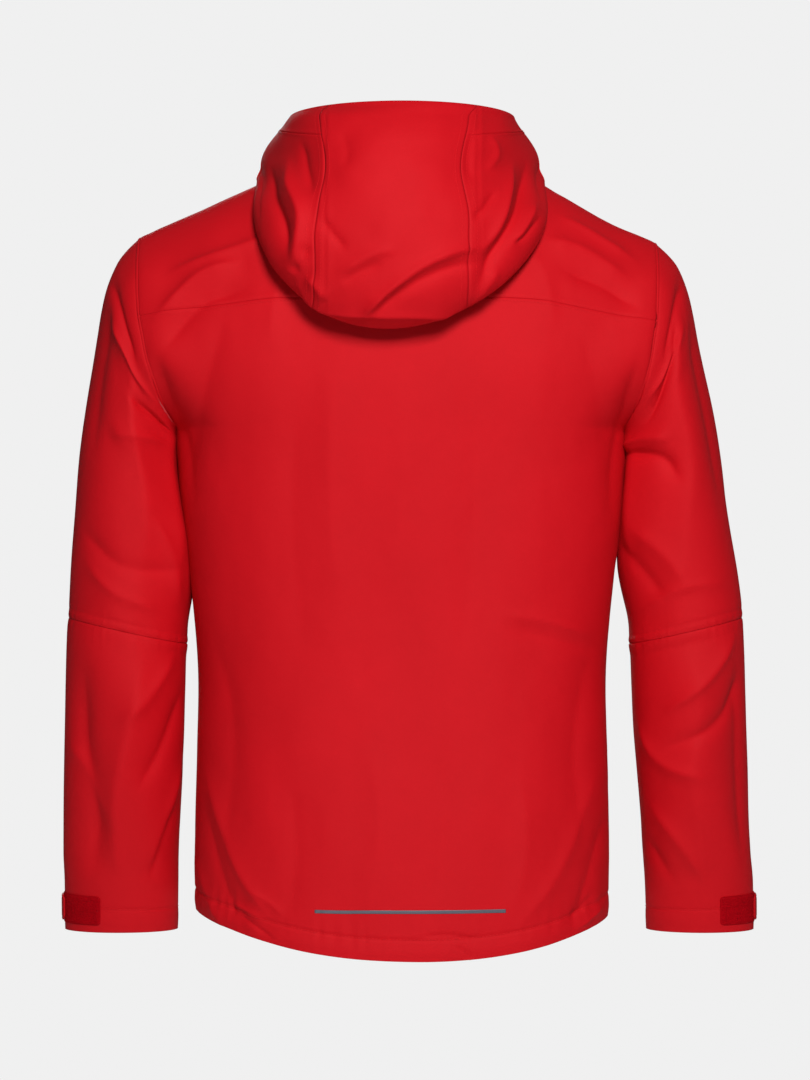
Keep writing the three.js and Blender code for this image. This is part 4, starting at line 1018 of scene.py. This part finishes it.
def rim_points(angle):
    c, s = np.cos(angle), np.sin(angle)
    back = np.maximum(c, 0)
    front = np.maximum(-c, 0)
    y = RIM_SIDE_Y + RIM_REACH * back - (RIM_SIDE_Y - ZIP_TOP[0]) * front
    return np.stack([RIM_HALF_WIDTH * s, y, RIM_Z + 2 * back - 20 * front * front], axis=-1)


def crown(angle, t):
    """Hood and collar from the rim (t 0) to the bottom edge of the bag or the neckline (t 1)."""
    c, s = np.maximum(np.cos(angle), 0), np.sin(angle)
    rim = rim_points(angle)
    edge = neck_panel(angle, np.ones_like(angle))
    upper = rim + np.stack([15 * s, 60 * c, -20 - 22 * c], axis=-1)
    lower = edge + np.stack([8 * s, 57 * c, 25 - 5 * c], axis=-1)
    t = t[..., None]
    return (rim * (1 - t) ** 3 + upper * 3 * t * (1 - t) ** 2 + lower * 3 * t * t * (1 - t) + edge * t ** 3)


def crown_angle_at(x, t):
    low, high = np.zeros_like(t), np.full_like(t, math.pi / 2)
    for _ in range(26):
        middle = (low + high) / 2
        short = crown(middle, t)[..., 0] < x
        low, high = np.where(short, middle, low), np.where(short, high, middle)
    return low


def hood_weight(angle, t):
    """Weight of each point of the crown: full round the back, less towards the front and towards the bottom
    edge.
    """
    around = 1 - smooth((np.abs(angle) / DEGREE - 60) / 95)
    return around * mix(1.0, 0.72, t)


def hood_relief(points, angle, t):
    x, z = points[..., 0], points[..., 2]
    outside = np.abs(angle) < math.pi / 2
    depth = np.where(outside, FOLD_GAIN * folds(x, z, HOOD_FOLDS), 0)
    depth = rumple(depth, x, z, HOOD_WAVES)
    seam = np.abs(x) - HOOD_SEAM_X
    depth += np.where(outside, seam_ridge(seam, 1.0, 1.0), 0)
    brim = (t - BRIM_PART) * HOOD_PROFILE
    depth += np.where(np.abs(x) > HOOD_SEAM_X, seam_ridge(brim, 0.9, 0.9), 0.25 * seam_ridge(brim, 0.9, 0.9))
    depth *= smooth((1 - t) / 0.035) * smooth(t / 0.04)
    return depth


def sway(z, angle):
    """The empty hood slips to the wearer's left."""
    return (HOOD_SWAY + 2.5 * noise(z / 34, z * 0 + 4.4, 65)) * np.maximum(np.cos(angle), 0) ** 2


def slump(points, angle, slip, fall):
    """The empty hood slips sideways and its sides fall in a little above the shoulders."""
    x, z = points[..., 0], points[..., 2]
    beside = smooth((110 - np.abs(np.degrees(angle))) / 25) * fall
    pinch = np.where(x > 0, *SIDE_PINCH) * bell(z - SIDE_PINCH_Z, SIDE_PINCH_LENGTH) * beside
    moved = points.copy()
    moved[..., 0] += sway(z, angle) * slip - x * pinch
    return moved


def hood_piece(name, angle, t, node):
    """One panel of the hood, and its points, normals and weights for the topstitching."""
    points = slump(crown(angle, t), angle, smooth(t / 0.1), mix(EDGE_FALL, 1, smooth((1 - t) / 0.2)))
    normals = grid_normals(points, False)
    points = points + normals * hood_relief(points, angle, t)[..., None]
    points = settle(points)
    normals = grid_normals(points, False)
    piece = sheet_object(name, points, normals, False, PANEL)
    declare(piece, "shell_red", node)
    weights = hood_weight(angle, t)
    weigh(piece)
    return points, normals, weights


def side_grid(sign, t, low, high, columns):
    """Angles from low (one for each row) to high, with the rows t. On the right (-1) they are mirrored."""
    around = mix(low, high, np.linspace(0, 1, columns)[None])
    angle = around if sign > 0 else -around[:, ::-1]
    return angle, np.broadcast_to(t[:, None], angle.shape)


def seam_angle(t):
    """Angle of the long seam of the hood at each row, as a column."""
    return crown_angle_at(np.full((len(t), 1), float(HOOD_SEAM_X)), t[:, None])


def hood_pieces():
    grids = {}
    t, across = np.meshgrid(dense_ends(110), np.linspace(-1, 1, 64), indexing="ij")
    grids["centre"] = hood_piece("hood_centre_cloth", across * seam_angle(t[:, 0]), t, "hood_centre_panel")
    for side, sign in SIDES:
        for part, low, high, rows in (("brim", 0.0, BRIM_PART, 34), ("side", BRIM_PART, 1.0, 110)):
            t = mix(low, high, dense_ends(rows))
            angle, t = side_grid(sign, t, seam_angle(t), HOOD_FRONT_ANGLE, 84)
            grids[f"{part}_{side}"] = hood_piece(f"hood_{part}_{side}_cloth", angle, t, f"hood_{part}_{side}")
        angle, t = side_grid(sign, dense_ends(60), np.full((60, 1), HOOD_FRONT_ANGLE), HOOD_END_ANGLE, 60)
        hood_piece(f"collar_{side}_cloth", angle, t, f"collar_{side}")
    t, angle = np.meshgrid(np.linspace(0, 0.994, 50), np.linspace(-HOOD_FRONT_ANGLE, HOOD_FRONT_ANGLE, 160),
                           indexing="ij")
    points = settle(slump(neck_panel(angle, t), angle, t, EDGE_FALL * t))
    normals = grid_normals(points, True)
    thickness = mix(CLOTH, 0.15, smooth((t - 0.9) / 0.1))[..., None]
    piece = sheet_object("hood_neck_cloth", points, normals, True, PANEL, thickness)
    declare(piece, "shell_dark", "hood_neck_panel")
    weigh(piece)
    return grids


# ------------------------------------------------------------ sewn and fitted details
def torso_normals(side, x, z):
    step = 0.5
    def point(px, pz):
        return np.stack([px, torso_y(side, px, pz), pz], axis=-1)
    normal = unit(np.cross(point(x, z + step) - point(x, z - step), point(x + step, z) - point(x - step, z)))
    return normal * np.where(normal[..., 1:2] * side < 0, -1, 1)


def on_torso(side, x, z, lift=0.0):
    """Points and normals on the draped cloth of the back (+1) or the front (-1)."""
    x, z = np.broadcast_arrays(np.asarray(x, float), np.asarray(z, float))
    base = np.stack([x, torso_y(side, x, z), z], axis=-1)
    normals = torso_normals(side, x, z)
    relief = torso_relief(side, base, column_for(x, z))
    return settle(base + normals * (relief + lift)[..., None]), normals


YOKE_STITCH_END = 250
YOKE_STITCH_GAP = 3.0
ZIP_STITCH_GAP = 4.5
HEM_STITCH_START, HEM_STITCH_END = 14, 196
SEAM_LIFT, HEM_LIFT = 0.1, 0.35  # of the stitches above the cloth
STITCH_LENGTH, STITCH_PITCH = 2.4, 3.4
STITCH_WIDTH, STITCH_HEIGHT = 0.62, 0.42
STITCH_SIDES, STITCH_STOPS = 6, 5


def thread(name, path, normals, body="shell", weights=None):
    """A row of lockstitches along a path: short rounded stitches, sunk a little at both ends.
    It rides on a body, or with weights it is left unattached and its transform is baked."""
    steps = np.linalg.norm(np.diff(path, axis=0), axis=1)
    at = np.concatenate([[0], np.cumsum(steps)])
    count = max(int(at[-1] / STITCH_PITCH), 1)
    start = (np.arange(count) + 0.15) * at[-1] / count
    shape = np.linspace(0, 1, STITCH_STOPS)
    ring = (np.arange(STITCH_SIDES) * 2 * math.pi / STITCH_SIDES)[None, None, :, None]
    along = start[:, None] + shape[None] * STITCH_LENGTH
    place = np.stack([np.interp(along, at, path[:, k]) for k in range(3)], axis=-1)
    up = unit(np.stack([np.interp(along, at, normals[:, k]) for k in range(3)], axis=-1))
    forward = np.broadcast_to(unit(place[:, -1:] - place[:, :1]), place.shape)
    beside = np.cross(up, forward)
    belly = np.sin(math.pi * (0.12 + 0.76 * shape))[None, :, None, None]
    lift = (np.sin(math.pi * shape) * 0.25)[None, :, None, None]
    body_points = (place[:, :, None] + beside[:, :, None] * (np.cos(ring) * STITCH_WIDTH / 2 * belly)
                   + up[:, :, None] * (np.sin(ring) * STITCH_HEIGHT / 2 * belly + lift))
    index = np.arange(body_points[..., 0].size).reshape(body_points.shape[:3])
    thing = mesh_object(name, body_points.reshape(-1, 3), loop_faces(index), [PAINTED_HIGHLIGHT_THREAD])
    if weights is None:
        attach(thing, body)
    else:
        weigh(thing)


def torso_threads():
    x = np.linspace(-YOKE_STITCH_END, YOKE_STITCH_END, 500)
    thread("yoke_stitch_0", *on_torso(1, x, yoke_seam(np.abs(x)) - YOKE_STITCH_GAP, SEAM_LIFT))
    x = np.linspace(-HEM_STITCH_END, HEM_STITCH_END, 400)
    thread("back_hem_stitch", *on_torso(1, x, back_hem(np.abs(x)) + TUNNEL_HEIGHT, HEM_LIFT))
    for side, sign in SIDES:
        x = sign * np.linspace(HEM_STITCH_START, HEM_STITCH_END, 200)
        thread(f"front_hem_stitch_{side}", *on_torso(-1, x, front_hem(x) + TUNNEL_HEIGHT, HEM_LIFT))
        z = np.linspace(HEM_SIDE_Z + 4, FRONT_NECK_Z - 4, 500)
        x = np.full_like(z, sign * (FRONT_EDGE_X + ZIP_STITCH_GAP))
        thread(f"zip_stitch_{side}", *on_torso(-1, x, z, SEAM_LIFT))


def stripe():
    half = STRIPE["width"] / 2
    x = np.linspace(-half, half, 130)[None] + STRIPE["x"]
    v = np.linspace(-0.5, 0.5, 7)[:, None] * STRIPE["height"]
    wave = 0.4 * noise(x / 30, x * 0 + 2.2, 71) + hem_sag(x, x * 0 + STRIPE["z"])
    points, normals = on_torso(1, x + 0 * v, STRIPE["z"] + v + wave, 0.45)
    piece = sheet_object("reflective_stripe_film", points, normals, True, (REFLECTIVE,) * 2, STRIPE["cloth"])
    declare(piece, "reflective", "reflective_stripe", body="shell")


def cuff_surface(angle, t, distance, side):
    points = lower_sleeve(angle, t, side)
    step = 0.01
    around = lower_sleeve(angle + step, t, side) - lower_sleeve(angle - step, t, side)
    along = lower_sleeve(angle, np.minimum(t + step, 1), side) - lower_sleeve(angle, t - step, side)
    normal = unit(np.cross(along, around))
    middle = (lower_sleeve(np.zeros_like(t), t, side) + lower_sleeve(np.full_like(t, math.pi), t, side)) / 2
    outward = np.sum(normal * (points - middle), axis=-1, keepdims=True)
    normal = np.where(outward < 0, -normal, normal)
    return points + normal * np.asarray(distance)[..., None], normal


def rounded(counts, angles, heights, corner):
    """Grid over a strip of the cuff. A corner has a length in degrees and a part of half the height.
    It rounds the end of the strip."""
    v = np.linspace(-1, 1, counts[1])[:, None]
    u = np.linspace(0, 1, counts[0])[None]
    over = np.clip((np.abs(v) - (1 - corner[1])) / corner[1], 0, 1)
    bite = 1 - np.sqrt(1 - over ** 2)
    start, end = angles[0], angles[1] - corner[0] * bite
    top, bottom = heights
    t = (top + bottom) / 2 + v * (bottom - top) / 2 + 0 * u
    return np.broadcast_to((start + (end - start) * u) * DEGREE, t.shape), t


def cuff_details():
    for k, (side, sign) in enumerate(SIDES):
        mirror = np.array([sign, 1, 1.0])
        angle, t = rounded((150, 70), (PATCH_START_ANGLE, PATCH_END_ANGLE), (TAB_TOP, TAB_BOTTOM),
                           PATCH_CORNER)
        across = np.degrees(angle)
        fuzz = 0.34 * noise(across * 1.3, t * 420, 81 + k) + 0.2 * noise(across * 3.1, t * 900, 83)
        border = smooth((PATCH_END_ANGLE - across) / 3) * smooth((TAB_BOTTOM - t) / 0.008)
        border *= smooth((t - TAB_TOP) / 0.008)
        points, normals = cuff_surface(angle, t, PATCH_TOP - 0.5 + (0.45 + fuzz) * border, side)
        piece = sheet_object(f"cuff_patch_{side}_pile", points * mirror, normals * mirror, sign > 0,
                             (PILE, PILE), PATCH_CLOTH)
        declare(piece, "hook_loop", f"cuff_loop_patch_{side}", body=f"sleeve_lower_{side}")
        angle, t = rounded((90, 50), (TAB_SEWN_ANGLE, TAB_FREE_ANGLE),
                           (TAB_TOP + TAB_MARGIN, TAB_BOTTOM - TAB_MARGIN), TAB_CORNER)
        across = np.degrees(angle)
        inset = np.minimum.reduce([TAB_FREE_ANGLE - across,
                                   (TAB_BOTTOM - TAB_MARGIN - t) * LOWER_SLEEVE_LENGTH,
                                   (t - TAB_TOP - TAB_MARGIN) * LOWER_SLEEVE_LENGTH])
        swell = 0.5 * smooth(inset / 2.5) - 0.35 * bell(inset - 3.2, 0.8)
        points, normals = cuff_surface(angle, t, TAB_FACE - 0.3 + swell, side)
        piece = sheet_object(f"cuff_tab_{side}_cloth", points * mirror, normals * mirror, sign > 0,
                             (DARK_RED, PILE), TAB_CLOTH)
        declare(piece, "shell_dark", f"cuff_tab_{side}")
        weigh(piece)
        ring = np.linspace(0, 2 * math.pi, 260)
        path, normals = cuff_surface(ring, np.full_like(ring, CUFF_HEM_START), 0.0, side)
        thread(f"cuff_stitch_{side}", path * mirror, normals * mirror, f"sleeve_lower_{side}")


def hood_threads(grids):
    """Topstitching beside the long seams of the hood."""
    rows = [(f"hood_{part}_stitch_{side}", f"{part}_{side}", 3 if sign > 0 else -4)
            for side, sign in SIDES for part in ("brim", "side")]
    rows += [("hood_centre_stitch_right", "centre", 3), ("hood_centre_stitch_left", "centre", -4)]
    for name, panel, column in rows:
        points, normals, weights = (grid[:, column] for grid in grids[panel])
        thread(name, points, normals, weights=weights)


def straight_frame(bottom, top, outward):
    along = unit(top - bottom)
    across = unit(np.cross(along, outward))
    return np.stack([across, along, np.cross(across, along)]), bottom


def zip_frame():
    foot, head = (np.array([0, *end], float) for end in (ZIP_BOTTOM, ZIP_TOP))
    return straight_frame(foot, head, np.array([0, -1.0, 0]))


def pocket_frame(sign):
    x = np.array(sign * POCKET_X * 1.0)
    foot, middle, head = (np.array(z) for z in np.linspace(POCKET_BOTTOM_Z, POCKET_TOP_Z, 3))
    ends = [np.array([x, torso_y(-1, x, z), z]) for z in (foot, head)]
    return straight_frame(*ends, torso_normals(-1, x, middle))


COIL_LANE = 0.15  # from the middle of a zip to the loops of one side
COIL_WIDTH = 2.0
COIL_PITCH = 1.35
COIL_DEPTH = 0.65  # half the height of a loop
COIL_STEPS = 14  # for each loop
WIRE_RADIUS = 0.3
WIRE_SIDES = 5
MAIN_COIL_LEVEL, MAIN_COIL_START = -3.4, 17.0
POCKET_COIL_LEVEL = -4.2


def coil_side(name, frame_of_zip, side_sign, level, start, end, *nodes):
    """One half of a coil zip: a close row of loops of monofilament."""
    basis, origin = frame_of_zip
    turns = int((end - start) / COIL_PITCH)
    phase = np.linspace(0, 2 * math.pi * turns, turns * COIL_STEPS + 1)
    along = start + phase / (2 * math.pi) * COIL_PITCH
    centre = side_sign * (COIL_LANE + COIL_WIDTH / 2)
    path = np.stack([centre + np.cos(phase) * (COIL_WIDTH / 2 - WIRE_RADIUS), along,
                     level + np.sin(phase) * COIL_DEPTH], axis=-1)
    forward = unit(np.gradient(path, axis=0))
    out = np.stack([np.cos(phase), 0 * phase, np.sin(phase)], axis=-1)
    beside = unit(np.cross(forward, out))
    ring = (np.arange(WIRE_SIDES) * 2 * math.pi / WIRE_SIDES)[None, :, None]
    tube = (path[:, None] + out[:, None] * (np.cos(ring) * WIRE_RADIUS)
            + beside[:, None] * (np.sin(ring) * WIRE_RADIUS))
    index = np.arange(len(path) * WIRE_SIDES).reshape(len(path), WIRE_SIDES)
    thing = mesh_object(name, tube.reshape(-1, 3) @ basis + origin, loop_faces(index), [COIL])
    declare(thing, "zip_coil", *nodes, body="shell")


def zips():
    length = math.dist(ZIP_BOTTOM, ZIP_TOP)
    for side, sign in SIDES:
        coil_side(f"zip_coil_{side}", zip_frame(), sign, MAIN_COIL_LEVEL, MAIN_COIL_START, length,
                  f"zip_chain_{side}")
        for part, lane in (("inner", -1), ("outer", 1)):
            coil_side(f"pocket_coil_{side}_{part}", pocket_frame(sign), lane, POCKET_COIL_LEVEL, 0,
                      POCKET_TOP_Z - POCKET_BOTTOM_Z)


def fabric_nodes():
    """Procedural materials for the CAD nodes that are shown as they are."""
    looks = {"zip_box": PLASTIC, "main_slider": METAL, "main_puller": PLASTIC, "storm_flap": FLAT_RED,
             "chin_guard": FLAT_RED, "hanger_loop": WEBBING, "hem_facing_back": FLAT_RED,
             "hem_drawcord": WEBBING}
    for side in ("left", "right"):
        looks.update({f"zip_tape_{side}": FLAT_TAPE, f"hem_facing_front_{side}": FLAT_RED,
                      f"pocket_zip_{side}": FLAT_TAPE, f"pocket_slider_{side}": METAL,
                      f"pocket_puller_{side}": PLASTIC, f"pocket_bag_{side}": FLAT_BACKER,
                      f"cord_lock_{side}": PLASTIC, f"cord_plunger_{side}": PLASTIC})
    for node, look in looks.items():
        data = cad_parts[node].data
        data.materials.clear()
        data.materials.append(look)


# ------------------------------------------------------------ studio
CAMERA_DISTANCE = 3.5
CAMERA_X = -0.003
CAMERA_Z = -0.35
VIEW_HEIGHT = 1.08  # height of the view at the jacket, in metres
AMBIENT = 0.12
BACKGROUND = 0.871
FLOOR_Z = -1250
FLOOR_HALF = 1700
SENSOR_HEIGHT = 24
LIGHTS = (
    ("key", (-0.35, 2.6, 1.0), (0, 0, -0.3), (0.8, 0.8), 77),
    ("low", (0.5, 2.8, -0.6), (0, 0, 0.2), (1.0, 1.0), 4.5),
    ("front", (0.3, -3.2, 0.6), (0, 0, -0.35), (1.2, 1.2), 50),
)


def look_at(thing, place, target):
    direction = Vector(target) - Vector(place)
    thing.location = place
    thing.rotation_euler = direction.to_track_quat("-Z", "Y").to_euler()


def camera():
    data = bpy.data.cameras.new("camera")
    data.sensor_fit = "VERTICAL"
    data.sensor_height = SENSOR_HEIGHT
    data.lens = SENSOR_HEIGHT * CAMERA_DISTANCE / VIEW_HEIGHT
    data.dof.use_dof = False
    thing = add_to_scene("camera", data)
    look_at(thing, (CAMERA_X, CAMERA_DISTANCE, CAMERA_Z), (CAMERA_X, 0, CAMERA_Z))
    bpy.context.scene.camera = thing


def area_light(name, place, target, size, power):
    data = bpy.data.lights.new(name, "AREA")
    data.shape = "RECTANGLE"
    data.size, data.size_y = size
    data.energy = power
    look_at(add_to_scene(name, data), place, target)


def studio():
    """The camera sees a pale studio, while the object gets only a little light from all round."""
    world = bpy.data.worlds.new("studio")
    world.use_nodes = True
    tree = world.node_tree
    around = tree.nodes["Background"]
    feed(tree, around, {"Color": (*[AMBIENT] * 3, 1)})
    pale = new_node(tree, "Background", {"Color": (*[BACKGROUND] * 3, 1)})
    seen = tree.nodes.new("ShaderNodeLightPath").outputs["Is Camera Ray"]
    choice = new_node(tree, "MixShader", {0: seen, 1: around.outputs[0], 2: pale.outputs[0]})
    feed(tree, tree.nodes["World Output"], {"Surface": choice.outputs[0]})
    bpy.context.scene.world = world
    for name, place, target, size, power in LIGHTS:
        area_light(name, place, target, size, power)
    corners = [(x * FLOOR_HALF, y * FLOOR_HALF, FLOOR_Z) for x, y in ((-1, -1), (1, -1), (1, 1), (-1, 1))]
    pale_floor = plain("pale floor", (0.8, 0.8, 0.8), 0.9, dark=0.97)
    floor = mesh_object("floor", corners, [(0, 1, 2, 3)], [pale_floor])
    bpy.context.scene.view_settings.view_transform = "Standard"


camera()
studio()
back_pieces()
front_pieces()
sleeve_pieces()
armhole_welts()
hood_threads(hood_pieces())
torso_threads()
stripe()
cuff_details()
zips()
fabric_nodes()
